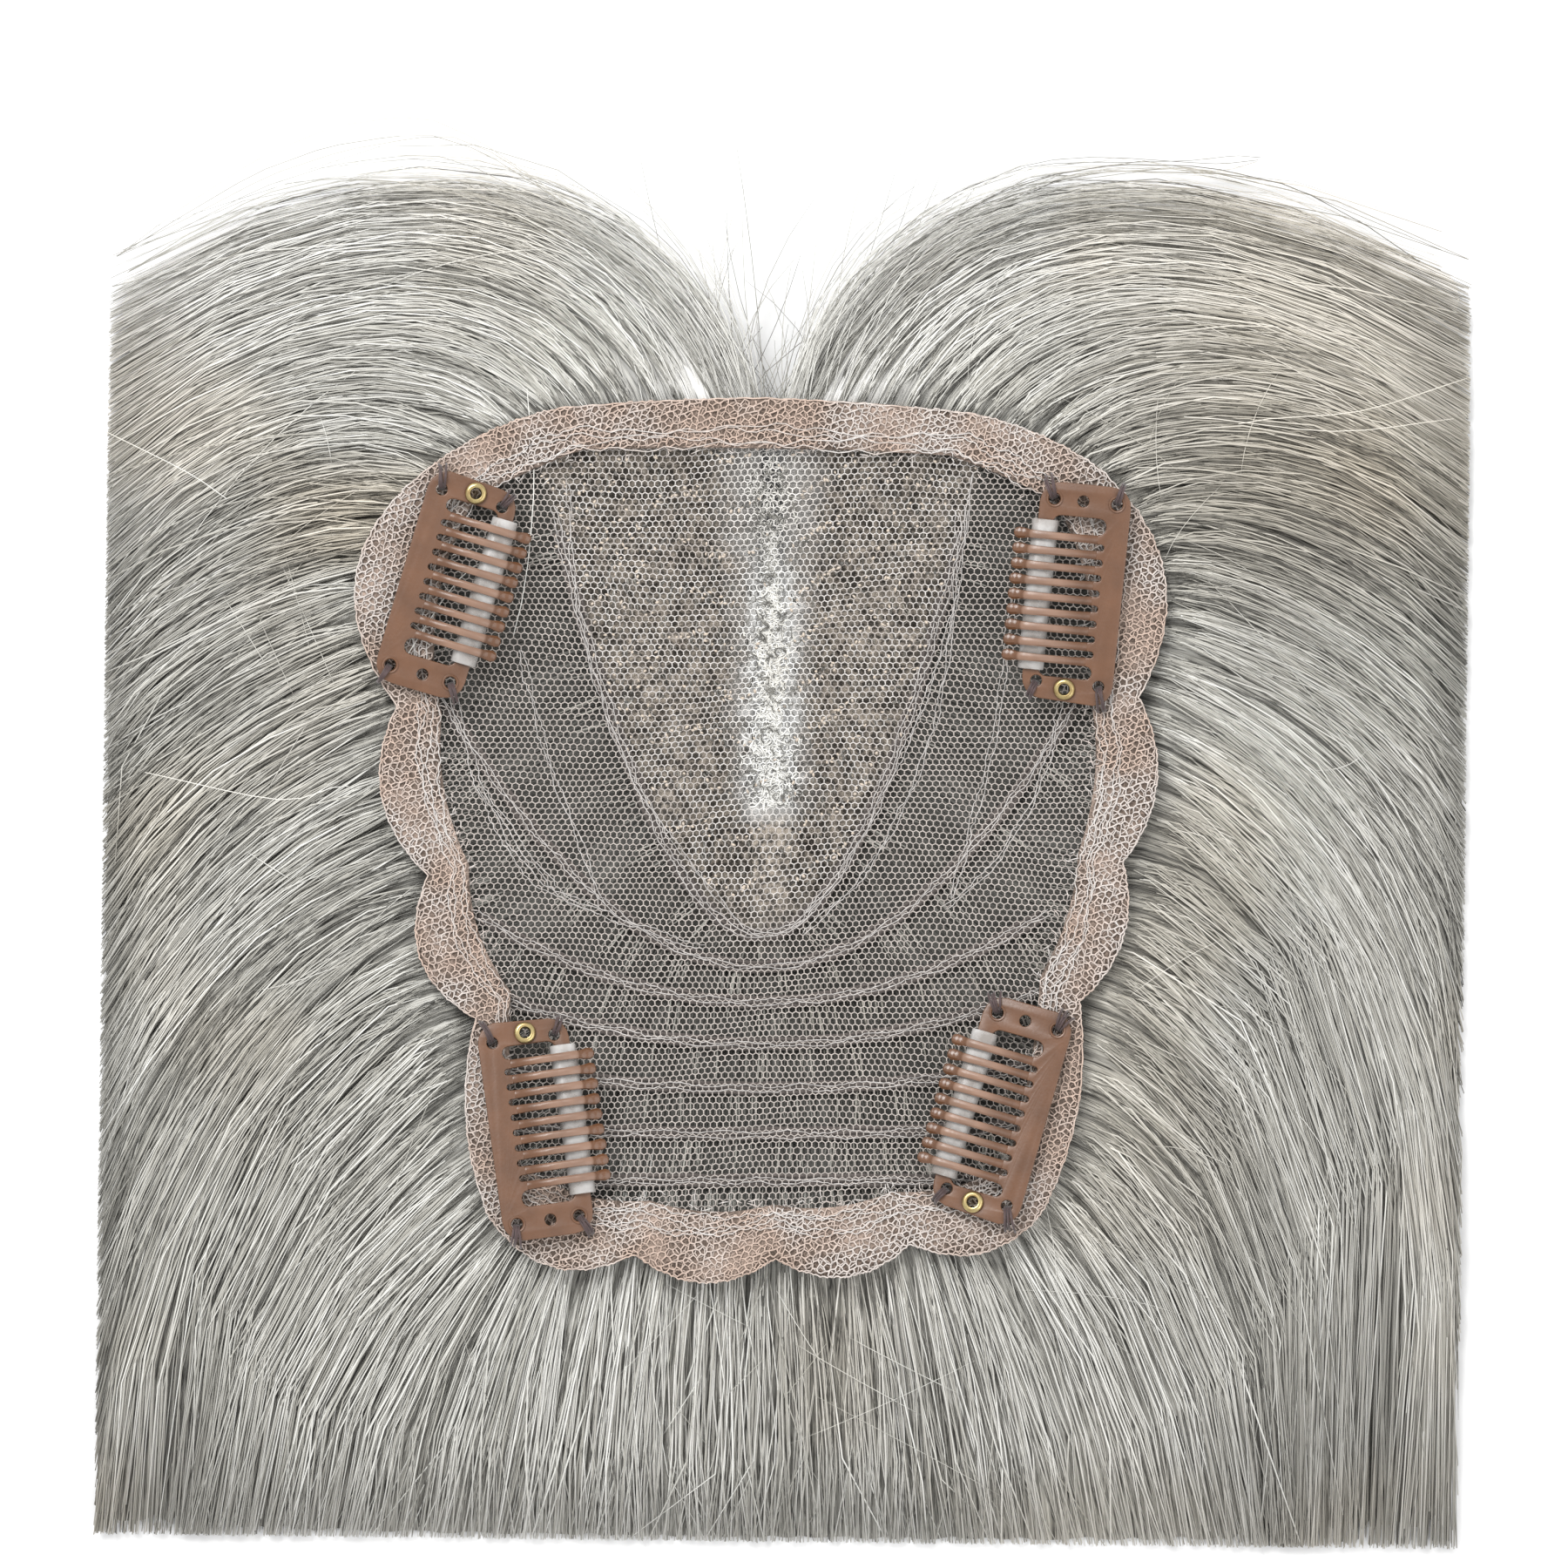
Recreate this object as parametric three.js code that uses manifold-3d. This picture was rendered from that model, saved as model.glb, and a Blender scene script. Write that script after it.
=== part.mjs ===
// A clip-in hair topper that lies inside up on a table, as it is laid out to show its base.
// A soft lace dish with a scalloped edge rests on its own hair, which parts in the middle and fans out to
// every side. Rows of weft are sewn under the lace, and four snap combs on top hold it to the wearer's hair.
// Millimetres, +Z up, +Y towards the front hairline. The footprint is centred on the origin, on Z = 0.
import * as THREE from "three";
import { mergeVertices } from "three/addons/utils/BufferGeometryUtils.js";
import Module from "manifold-3d";

const wasm = await Module();
wasm.setup();

// Lace base
const BASE_WIDTH = 118; // side to side, across the widest scallops
const BASE_LENGTH = 129; // front hairline to the back scallops
const LACE_WALL = 1;
const LACE_HEIGHT = 6; // under the middle of the lace, above the table
const DISH_DEPTH = 10; // the rim lies this much higher than the middle
const DISH_RADIUS = 66; // where the dish levels out
const DISH_RINGS = 6;
const DISH_SIDES = 24;
const SCALLOP_STEPS = 4;

// Scalloped edge band, sewn on the rim of the lace
const EDGE_WIDTH = 7.5;
const EDGE_SHIFT = 1; // its inner side lies this far forward, so it is wider at the back
const EDGE_WALL = 0.8;
const EDGE_OVERHANG = 2; // past the lace
const EDGE_INNER_SCALLOP = 0.4; // share of the outer scallops that the inner side follows

// Clear space between layers that are sewn together
const SEWN_GAP = 0.4;

// Weft bands under the lace
const WEFT_WIDTH = 2;
const WEFT_WALL = 0.7;
const WEFT_STEPS = 10;

// Hair
const PARTING_WIDTH = 6.5; // at its back end
const PARTING_FRONT_WIDTH = 2.6;
const PARTING_OFFSET = 1.6; // the parting lies this far right of the base's middle
const PARTING_FRONT = 61; // from the middle of the base to the parting's front end
const PARTING_LENGTH = 56;
const LEFT_REACH = 99; // from the parting to the tips, on each side
const RIGHT_REACH = 102.5;
const FRONT_REACH = 98; // from the middle of the base
const BACK_REACH = 103;
const TIP_HEIGHT = 2.4; // thickness of the hair at its tips
const LOCK_DEPTH = 1.6; // groove between two locks
const LOCK_RISE = 0.18; // share of a lock's length in which its grooves reach their depth
const TIP_NOTCH = 0.012; // how much shorter a lock is at its sides, as a share of its length
const HAIR_PUFF = 0.8; // how far the hair stands above the lace's underside where it comes out
const HAIR_FALL = 1.25; // above 1 the hair drops faster near the lace
const FRONT_THIN = 0.5; // share of the height that is left at the open front edge of the hair
const FRONT_ROWS = 0.6; // rows of the flow over which it thins
const UNDER_STEPS = 3; // sections under the lace
const FREE_STEPS = 7; // sections outside it
const STEM_CURVE = 0.4; // how early the hair under the lace turns into its way out
const HAIR_GAP = 0.3; // between neighbouring bundles

// Snap comb: a stamped steel plate with teeth, which snaps shut on a sleeved bar
const CLIP_LENGTH = 32;
const CLIP_WIDTH = 14;
const PLATE_WALL = 0.8;
const PLATE_CORNER = 3;
const END_SLANT = 0.4; // how much shorter the sleeved side is, at the eyelet's end
const SPINE_WIDTH = 3.3;
const HEAD_WIDTH = 3.3; // plate at the eyelet's end, from its edge to the window
const FOOT_WIDTH = 4.8; // plate at the other end
const BAR_WIDTH = 2.2;
const BAR_INSET = 0.7; // from the plate's side to the bar
const WINDOW_ROUND = 1.5;
const CORNER_STEPS = 3;
const TOOTH_COUNT = 9;
const TOOTH_PITCH = 2.23;
const TOOTH_WIDTH = 1.2;
const TOOTH_WALL = 0.7;
const TOOTH_OVERSHOOT = 2.6; // past the plate's sleeved side
const TOOTH_ROOT = 0.6; // hidden in the spine
const TOOTH_DROP = 1.2; // from the top of the arch down to the bead
const TOOTH_BEAD = 1.3; // thickness of the dipped tip
const FIRST_WINDOW = 2.6; // between the eyelet's end and the first tooth
const SLEEVE_END_GAP = 0.8; // between the sleeve and each end of the window
const SLEEVE_WALL = 0.5;
const FIT_GAP = 0.3;
const STITCH_HOLE_RADIUS = 0.85;
const HOLE_INSET = 2.5; // from the plate's ends to the middle of its holes
const HOLE_SIDE_INSET = 2.1; // from the plate's sides
const HOLE_SIDES = 6;
const EYELET_RADIUS = 1.55;
const EYELET_BORE = 0.65;
const EYELET_WALL = 0.3;
const EYELET_FLANGE = 0.45;
const EYELET_SIDES = 9;

// The scalloped outline, clockwise from the front left corner. x and y are shares of half the base's width
// and length, and bulge is how far the arc that ends here stands out, as a share of its chord.
const SCALLOPS = [
  { x: -0.805, y: 0.86, bulge: 0.247 },
  { x: -0.503, y: 0.983, bulge: 0.05 },
  { x: 0.535, y: 0.969, bulge: 0.03 },
  { x: 0.838, y: 0.85, bulge: 0.05 },
  { x: 0.942, y: 0.326, bulge: 0.2 },
  { x: 0.903, y: -0.049, bulge: 0.157 },
  { x: 0.795, y: -0.366, bulge: 0.155 },
  { x: 0.697, y: -0.85, bulge: 0.08 },
  { x: 0.373, y: -0.916, bulge: 0.18 },
  { x: 0.038, y: -0.949, bulge: 0.19 },
  { x: -0.312, y: -0.939, bulge: 0.185 },
  { x: -0.676, y: -0.85, bulge: 0.22 },
  { x: -0.708, y: -0.405, bulge: 0.08 },
  { x: -0.827, y: -0.079, bulge: 0.22 },
  { x: -0.903, y: 0.307, bulge: 0.18 },
];

// Weft rows from front to back: where each crosses the middle, its half width and how far its ends rise
// towards the front, as shares of half the base's length and width.
const WEFTS = [
  { middle: -0.218, side: 0.5, rise: 0.92 },
  { middle: -0.29, side: 0.78, rise: 0.6 },
  { middle: -0.37, side: 0.7, rise: 0.2 },
  { middle: -0.465, side: 0.68, rise: 0.12 },
  { middle: -0.564, side: 0.66, rise: 0.05 },
  { middle: -0.666, side: 0.66, rise: 0.02 },
  { middle: -0.771, side: 0.64, rise: 0 },
];

// The way the hair flows, from the parting's front end round to the middle of the back, on each side. stem is
// where it leaves the parting, as a share of the parting's length. root is where it comes out from under the
// lace, in shares of half the base. lift, sweep and tip steer and end the free length: x in shares of that
// side's reach, y in shares of the front reach, or of the back reach where it is negative.
const flowRow = (stem, rootX, rootY, liftX, liftY, sweepX, sweepY, tipX, tipY) =>
  ({ stem, rootX, rootY, liftX, liftY, sweepX, sweepY, tipX, tipY });
const FLOW_LEFT = [
  flowRow(0, 0.042, 0.99, 0.095, 0.922, 0.442, 1.162, 0.978, 0.848),
  flowRow(0.1, 0.4, 0.97, 0.304, 0.799, 0.582, 0.955, 0.98, 0.644),
  flowRow(0.2, 0.76, 0.87, 0.545, 0.63, 0.752, 0.67, 0.983, 0.41),
  flowRow(0.34, 0.96, 0.6, 0.664, 0.39, 0.838, 0.33, 0.985, 0.176),
  flowRow(0.46, 0.92, 0.237, 0.635, 0.117, 0.835, 0.045, 0.99, -0.229),
  flowRow(0.58, 0.86, -0.089, 0.62, -0.07, 0.86, -0.19, 0.995, -0.576),
  flowRow(0.64, 0.84, -0.2, 0.65, -0.155, 0.965, -0.45, 1, -0.987),
  flowRow(0.69, 0.81, -0.32, 0.62, -0.205, 0.92, -0.452, 0.905, -0.988),
  flowRow(0.75, 0.76, -0.435, 0.58, -0.31, 0.845, -0.58, 0.854, -0.99),
  flowRow(0.82, 0.72, -0.652, 0.56, -0.47, 0.78, -0.69, 0.786, -0.992),
  flowRow(0.88, 0.63, -0.82, 0.5, -0.62, 0.64, -0.77, 0.657, -0.994),
  flowRow(0.93, 0.48, -0.88, 0.329, -0.68, 0.373, -0.833, 0.387, -0.996),
  flowRow(0.97, 0.25, -0.9, 0.167, -0.7, 0.182, -0.85, 0.18, -0.998),
  flowRow(1, 0, -0.91, 0, -0.71, 0, -0.858, 0, -1),
];
const FLOW_RIGHT = [
  flowRow(0, 0.042, 0.99, 0.095, 0.922, 0.442, 1.162, 1, 0.848),
  flowRow(0.1, 0.4, 0.97, 0.304, 0.799, 0.582, 0.955, 1, 0.644),
  flowRow(0.2, 0.76, 0.87, 0.5, 0.64, 0.75, 0.72, 0.998, 0.5),
  flowRow(0.32, 0.96, 0.6, 0.62, 0.42, 0.85, 0.34, 0.995, 0.13),
  flowRow(0.38, 0.955, 0.44, 0.65, 0.27, 0.93, 0.14, 0.99, -0.12),
  flowRow(0.42, 0.94, 0.35, 0.66, 0.2, 1, 0, 0.985, -0.62),
  flowRow(0.47, 0.93, 0.26, 0.68, 0.13, 1.04, -0.1, 0.98, -1.01),
  flowRow(0.53, 0.91, 0.16, 0.7, 0.05, 1.02, -0.18, 0.896, -1.008),
  flowRow(0.62, 0.86, -0.089, 0.64, -0.06, 0.93, -0.25, 0.81, -1.006),
  flowRow(0.74, 0.79, -0.36, 0.591, -0.26, 0.815, -0.465, 0.753, -1.005),
  flowRow(0.82, 0.72, -0.652, 0.541, -0.44, 0.69, -0.65, 0.709, -1.004),
  flowRow(0.89, 0.6, -0.83, 0.429, -0.613, 0.523, -0.786, 0.554, -1.003),
  flowRow(0.96, 0.3, -0.9, 0.205, -0.7, 0.23, -0.848, 0.236, -1.001),
  flowRow(1, 0, -0.91, 0, -0.71, 0, -0.858, 0, -1),
];

// Hair bundles: the rows of the flow between which each lies, its side and its number of locks.
const BUNDLES = [
  { name: "front_hair_left", from: 0, to: 2, side: -1, locks: 6 },
  { name: "front_hair_right", from: 0, to: 2, side: 1, locks: 6 },
  { name: "side_hair_left", from: 2, to: 7, side: -1, locks: 9 },
  { name: "side_hair_right", from: 2, to: 7, side: 1, locks: 9 },
  { name: "back_hair", from: 7, to: 13, side: 0, locks: 13 },
];

// Snap combs: the middle of each plate in shares of half the base, and its turn in degrees.
const CLIPS = [
  { name: "front_left", x: -0.768, y: 0.577, turn: -16.5 },
  { name: "front_right", x: 0.775, y: 0.558, turn: 174.2 },
  { name: "back_left", x: -0.549, y: -0.648, turn: 7.8 },
  { name: "back_right", x: 0.592, y: -0.608, turn: 163.9 },
];

const finish = (color, roughness, metalness = 0) =>
  new THREE.MeshStandardMaterial({ color, roughness, metalness });
const LACE = finish(0xcdc4bd, 0.85);
const EDGE = finish(0xd3b5a4, 0.85);
const WEFT = finish(0xb9b4ac, 0.8);
const HAIR = finish(0xb4b1aa, 0.55);
const LACQUER = finish(0xa67c62, 0.45, 0.1);
const SILICONE = finish(0xd6cec8, 0.3);
const BRASS = finish(0xc9a94a, 0.3, 1);

function solidOf(geometry) {
  const bare = geometry.clone();
  bare.deleteAttribute("normal");
  bare.deleteAttribute("uv");
  const merged = mergeVertices(bare, 1e-4);
  const vertProperties = new Float32Array(merged.attributes.position.array);
  const triVerts = new Uint32Array(merged.index.array);
  return new wasm.Manifold(new wasm.Mesh({ numProp: 3, vertProperties, triVerts }));
}

function geometryOf(solid) {
  const mesh = solid.getMesh();
  return new THREE.BufferGeometry()
    .setAttribute("position", new THREE.BufferAttribute(mesh.vertProperties, 3))
    .setIndex(new THREE.BufferAttribute(mesh.triVerts, 1));
}

function named(name, geometry, material) {
  const mesh = new THREE.Mesh(geometry, material);
  mesh.name = name;
  return mesh;
}

// A closed solid between an upper and a lower grid of points, with a wall round its four sides.
function slab(upper, lower) {
  const rows = upper.length;
  const columns = upper[0].length;
  const at = (layer, i, j) => (layer * rows + i) * columns + j;
  const index = [];
  const quad = (a, b, c, d) => index.push(a, b, c, a, c, d);
  for (let i = 0; i + 1 < rows; i++) {
    for (let j = 0; j + 1 < columns; j++) {
      quad(at(0, i, j), at(0, i + 1, j), at(0, i + 1, j + 1), at(0, i, j + 1));
      quad(at(1, i, j), at(1, i, j + 1), at(1, i + 1, j + 1), at(1, i + 1, j));
    }
  }
  for (let i = 0; i + 1 < rows; i++) {
    quad(at(0, i, 0), at(1, i, 0), at(1, i + 1, 0), at(0, i + 1, 0));
    quad(at(0, i, columns - 1), at(0, i + 1, columns - 1), at(1, i + 1, columns - 1), at(1, i, columns - 1));
  }
  for (let j = 0; j + 1 < columns; j++) {
    quad(at(0, 0, j), at(0, 0, j + 1), at(1, 0, j + 1), at(1, 0, j));
    quad(at(0, rows - 1, j), at(1, rows - 1, j), at(1, rows - 1, j + 1), at(0, rows - 1, j + 1));
  }
  const geometry = new THREE.BufferGeometry().setFromPoints([...upper.flat(), ...lower.flat()]);
  geometry.setIndex(index);
  if (solidOf(geometry).volume() < 0) geometry.setIndex(index.reverse());
  return geometry;
}

// Underside of the lace at a distance from its middle: a soft dish that levels out at its rim.
function laceUnder(radius) {
  const share = Math.min(radius / DISH_RADIUS, 1);
  return LACE_HEIGHT + DISH_DEPTH * share * share * (3 - 2 * share);
}

const halfWidth = BASE_WIDTH / 2;
const halfLength = BASE_LENGTH / 2;

// The scalloped outline, drawn in from the edge, with its arcs flattened to a share of their bulge.
function scalloped(inset, bulgeShare = 1, shift = 0) {
  const corner = ({ x, y }) =>
    new THREE.Vector2(x * (halfWidth - inset), y * (halfLength - inset) + shift);
  const shape = new THREE.Shape();
  let from = corner(SCALLOPS.at(-1));
  shape.moveTo(from.x, from.y);
  for (const scallop of SCALLOPS) {
    const to = corner(scallop);
    const chord = to.clone().sub(from);
    const out = new THREE.Vector2(-chord.y, chord.x).multiplyScalar(2 * scallop.bulge * bulgeShare);
    const control = from.clone().add(to).divideScalar(2).add(out);
    shape.quadraticCurveTo(control.x, control.y, to.x, to.y);
    from = to;
  }
  return shape;
}

// A layer of the dish, from one height above the lace's underside to another.
function dishLayer(bottom, top) {
  const reach = Math.hypot(halfWidth, halfLength) + EDGE_WIDTH;
  const radii = [];
  for (let ring = 0; ring < DISH_RINGS; ring++) radii.push((DISH_RADIUS * ring) / (DISH_RINGS - 1));
  if (reach > DISH_RADIUS) radii.push(reach);
  const under = radii.map((radius) => new THREE.Vector2(radius, laceUnder(radius) + bottom));
  const over = radii.map((radius) => new THREE.Vector2(radius, laceUnder(radius) + top)).reverse();
  const lathe = new THREE.LatheGeometry([...under, ...over], DISH_SIDES);
  return solidOf(lathe.rotateX(Math.PI / 2));
}

function prism(shape) {
  const depth = LACE_HEIGHT + DISH_DEPTH + 4 * (LACE_WALL + EDGE_WALL + SEWN_GAP);
  const settings = { depth, curveSegments: SCALLOP_STEPS, bevelEnabled: false };
  return solidOf(new THREE.ExtrudeGeometry(shape, settings));
}

const edgeBottom = LACE_WALL + SEWN_GAP;
const edgeTop = edgeBottom + EDGE_WALL;

function laceBase() {
  return geometryOf(dishLayer(0, LACE_WALL).intersect(prism(scalloped(EDGE_OVERHANG))));
}

function laceEdge() {
  const ring = prism(scalloped(0)).subtract(prism(scalloped(EDGE_WIDTH, EDGE_INNER_SCALLOP, EDGE_SHIFT)));
  return geometryOf(dishLayer(edgeBottom, edgeTop).intersect(ring));
}

// One weft band: it follows a parabola across the base, just under the lace.
function weft({ middle, side, rise }) {
  const edgeAt = (across, edge) => {
    const x = across * side * halfWidth;
    const y = (middle + rise * across * across) * halfLength;
    const slope = (2 * rise * across * halfLength) / (side * halfWidth);
    return new THREE.Vector2(-slope, 1).setLength((edge * WEFT_WIDTH) / 2).add(new THREE.Vector2(x, y));
  };
  const steps = Array.from({ length: WEFT_STEPS + 1 }, (_, i) => (2 * i) / WEFT_STEPS - 1);
  const outline = [
    ...steps.map((across) => edgeAt(across, -1)),
    ...steps.reverse().map((across) => edgeAt(across, 1)),
  ];
  return geometryOf(dishLayer(-SEWN_GAP - WEFT_WALL, -SEWN_GAP).intersect(prism(new THREE.Shape(outline))));
}

// The flow anywhere between two rows of one side's table, on a smooth curve through them.
function flowAt(place, side) {
  const table = side < 0 ? FLOW_LEFT : FLOW_RIGHT;
  const last = table.length - 1;
  const row = Math.min(Math.floor(place), last - 1);
  const t = place - row;
  const near = [row - 1, row, row + 1, row + 2].map((i) => table[Math.min(Math.max(i, 0), last)]);
  const blend = {};
  for (const key of Object.keys(table[0])) {
    const [a, b, c, d] = near.map((entry) => entry[key]);
    blend[key] = b + 0.5 * t * (c - a + t * (2 * a - 5 * b + 4 * c - d + t * (3 * (b - c) + d - a)));
  }
  return blend;
}

// The line that the hair follows at a place in the table, from the parting to its tip, seen from above.
function strandPath(place, side) {
  const flow = flowAt(place, side);
  const reachX = side < 0 ? LEFT_REACH : RIGHT_REACH;
  const steer = (x, y) =>
    new THREE.Vector2(PARTING_OFFSET + side * x * reachX, y * (y > 0 ? FRONT_REACH : BACK_REACH));
  const partingWidth = THREE.MathUtils.lerp(PARTING_FRONT_WIDTH, PARTING_WIDTH, flow.stem);
  const atMiddle = flow.stem >= 1;
  const stem = new THREE.Vector2(
    PARTING_OFFSET + (atMiddle ? 0 : (side * partingWidth) / 2),
    PARTING_FRONT - flow.stem * PARTING_LENGTH,
  );
  const root = new THREE.Vector2(PARTING_OFFSET + side * flow.rootX * halfWidth, flow.rootY * halfLength);
  const lift = steer(flow.liftX, flow.liftY);
  const back = root.clone().sub(lift).setLength(STEM_CURVE * stem.distanceTo(root));
  const sweep = steer(flow.sweepX, flow.sweepY);
  const tip = steer(flow.tipX, flow.tipY);
  return {
    under: new THREE.QuadraticBezierCurve(stem, root.clone().add(back), root),
    free: new THREE.CubicBezierCurve(root, lift, sweep, tip),
  };
}

// Top of the hair: level with the lace where it comes out, then falling to its tips in grooves.
function hairTop(point, along, groove, thin) {
  const level = laceUnder(Math.hypot(point.x, point.y));
  if (along <= 0) return level + HAIR_PUFF;
  const rim = Math.min(laceUnder(DISH_RADIUS), level) + HAIR_PUFF;
  const fall = TIP_HEIGHT + (rim * thin - TIP_HEIGHT) * Math.pow(1 - along, HAIR_FALL);
  const grooved = LOCK_DEPTH * groove * Math.min(along / LOCK_RISE, 1) * (1 - along / 2);
  return Math.max(fall - grooved, TIP_HEIGHT / 2);
}

// One bundle: a fan of locks, fused side by side, with a groove between each two. It is hollowed where the
// lace and the wefts lie on it.
function bundle({ from, to, side, locks }, hollow) {
  const columns = [];
  const steps = 2 * locks;
  for (let step = 0; step <= steps; step++) {
    const share = step / steps;
    const turned = side === 0 ? 1 - Math.abs(2 * share - 1) : share;
    const way = side === 0 ? Math.sign(2 * share - 1) || 1 : side;
    // The outer columns draw in by half the gap that is kept to the next bundle.
    const inward = step === 0 ? 1 : step < steps ? 0 : side === 0 ? 1 : -1;
    const groove = (step + 1) % 2;
    columns.push({ place: from + (to - from) * turned, way, aside: (-way * inward * HAIR_GAP) / 2, groove });
  }
  const upper = [];
  const lower = [];
  for (let row = -UNDER_STEPS; row <= FREE_STEPS; row++) {
    const tops = [];
    const bottoms = [];
    for (const { place, way, aside, groove } of columns) {
      const { under, free } = strandPath(place, way);
      const along = (Math.max(row, 0) / FREE_STEPS) * (1 - TIP_NOTCH * groove);
      const [curve, t] = row < 0 ? [under, 1 + row / UNDER_STEPS] : [free, along];
      const point = curve.getPoint(t);
      const heading = curve.getTangent(t);
      point.add(new THREE.Vector2(-heading.y, heading.x).multiplyScalar(aside));
      const thin = 1 - (1 - FRONT_THIN) * Math.max(1 - place / FRONT_ROWS, 0);
      tops.push(new THREE.Vector3(point.x, point.y, hairTop(point, along, groove, thin)));
      bottoms.push(new THREE.Vector3(point.x, point.y, 0));
    }
    upper.push(tops);
    lower.push(bottoms);
  }
  return geometryOf(solidOf(slab(upper, lower)).subtract(hollow));
}

// A snap comb's plate, its eyelet's end towards +Y and its sleeved bar towards +X, on Z = 0.
const plateSide = CLIP_WIDTH / 2;
const plateEnd = CLIP_LENGTH / 2;
const barOuter = plateSide - BAR_INSET;
const barMiddle = barOuter - BAR_WIDTH / 2;
const spineInner = SPINE_WIDTH - plateSide;
const windowTop = plateEnd - END_SLANT - HEAD_WIDTH;
const windowFoot = FOOT_WIDTH - plateEnd;

function roundedPlate() {
  const shape = new THREE.Shape();
  const high = plateEnd - END_SLANT;
  shape.moveTo(-plateSide, PLATE_CORNER - plateEnd);
  shape.quadraticCurveTo(-plateSide, -plateEnd, PLATE_CORNER - plateSide, -plateEnd);
  shape.lineTo(barOuter - PLATE_CORNER, -plateEnd);
  shape.quadraticCurveTo(barOuter, -plateEnd, barOuter, PLATE_CORNER - plateEnd);
  shape.lineTo(barOuter, high - PLATE_CORNER);
  shape.quadraticCurveTo(barOuter, high, barOuter - PLATE_CORNER, high + END_SLANT / 4);
  shape.lineTo(PLATE_CORNER - plateSide, plateEnd);
  shape.quadraticCurveTo(-plateSide, plateEnd, -plateSide, plateEnd - PLATE_CORNER);
  shape.closePath();
  return shape;
}

function hole(x, y, radius, sides) {
  const corners = Array.from({ length: sides }, (_, i) => {
    const angle = (2 * Math.PI * i) / sides;
    return new THREE.Vector2(x + radius * Math.cos(angle), y + radius * Math.sin(angle));
  });
  return new THREE.Path(corners);
}

const eyeletY = plateEnd - END_SLANT - HEAD_WIDTH / 2;
const eyeletHole = EYELET_RADIUS - EYELET_FLANGE + FIT_GAP;

function clipPlate() {
  const shape = roundedPlate();
  const barInner = barOuter - BAR_WIDTH;
  const round = WINDOW_ROUND;
  const opening = new THREE.Path();
  opening.moveTo(spineInner, windowFoot + round);
  opening.quadraticCurveTo(spineInner, windowFoot, spineInner + round, windowFoot);
  opening.lineTo(barInner - round, windowFoot);
  opening.quadraticCurveTo(barInner, windowFoot, barInner, windowFoot + round);
  opening.lineTo(barInner, windowTop - round);
  opening.quadraticCurveTo(barInner, windowTop, barInner - round, windowTop);
  opening.lineTo(spineInner + round, windowTop);
  opening.quadraticCurveTo(spineInner, windowTop, spineInner, windowTop - round);
  opening.closePath();
  const holeX = plateSide - HOLE_SIDE_INSET;
  const headY = plateEnd - END_SLANT - HOLE_INSET;
  const footY = HOLE_INSET - plateEnd;
  shape.holes.push(
    opening,
    hole(-holeX, headY, STITCH_HOLE_RADIUS, HOLE_SIDES),
    hole(holeX - BAR_INSET, headY, STITCH_HOLE_RADIUS, HOLE_SIDES),
    hole(-holeX, footY, STITCH_HOLE_RADIUS, HOLE_SIDES),
    hole(0, footY, STITCH_HOLE_RADIUS, HOLE_SIDES),
    hole(holeX - BAR_INSET, footY, STITCH_HOLE_RADIUS, HOLE_SIDES),
    hole(0, eyeletY, eyeletHole, HOLE_SIDES),
  );
  const settings = { depth: PLATE_WALL, curveSegments: CORNER_STEPS, bevelEnabled: false };
  return solidOf(new THREE.ExtrudeGeometry(shape, settings));
}

const sleeveThick = PLATE_WALL + 2 * (FIT_GAP + SLEEVE_WALL);
const sleeveWide = BAR_WIDTH + 2 * (FIT_GAP + SLEEVE_WALL);
const sleeveTop = PLATE_WALL / 2 + sleeveThick / 2;
const clipRise = sleeveTop - PLATE_WALL + SEWN_GAP;

// A tooth seen from the plate's end: it leaves the spine, arches over the sleeve and ends in a bead.
function tooth() {
  const over = sleeveTop + FIT_GAP;
  const start = spineInner - TOOTH_ROOT;
  const rise = barMiddle - sleeveWide / 2 - 1;
  const fall = barMiddle + sleeveWide / 2;
  const tip = plateSide + TOOTH_OVERSHOOT;
  const bead = TOOTH_BEAD / 2;
  const shape = new THREE.Shape();
  shape.moveTo(start, 0);
  shape.lineTo(spineInner + 1, 0);
  shape.quadraticCurveTo((spineInner + rise) / 2, over, rise, over);
  shape.lineTo(fall - 1, over);
  shape.lineTo(tip - 2 * bead, over - TOOTH_DROP);
  shape.absarc(tip - bead, over - TOOTH_DROP + TOOTH_WALL / 2, bead, -0.8 * Math.PI, 0.8 * Math.PI, false);
  shape.lineTo(fall - 1, over + TOOTH_WALL);
  shape.lineTo(rise, over + TOOTH_WALL);
  shape.quadraticCurveTo((spineInner + rise) / 2, over + TOOTH_WALL, spineInner + 1, TOOTH_WALL);
  shape.lineTo(start, TOOTH_WALL);
  shape.closePath();
  const settings = { depth: TOOTH_WIDTH, curveSegments: 2, bevelEnabled: false };
  const extruded = new THREE.ExtrudeGeometry(shape, settings);
  return solidOf(extruded.rotateX(Math.PI / 2).translate(0, TOOTH_WIDTH / 2, 0));
}

function clipFrame() {
  let frame = clipPlate();
  const one = tooth();
  const first = windowTop - FIRST_WINDOW;
  for (let i = 0; i < TOOTH_COUNT; i++) frame = frame.add(one.translate([0, first - i * TOOTH_PITCH, 0]));
  return geometryOf(frame);
}

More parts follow.
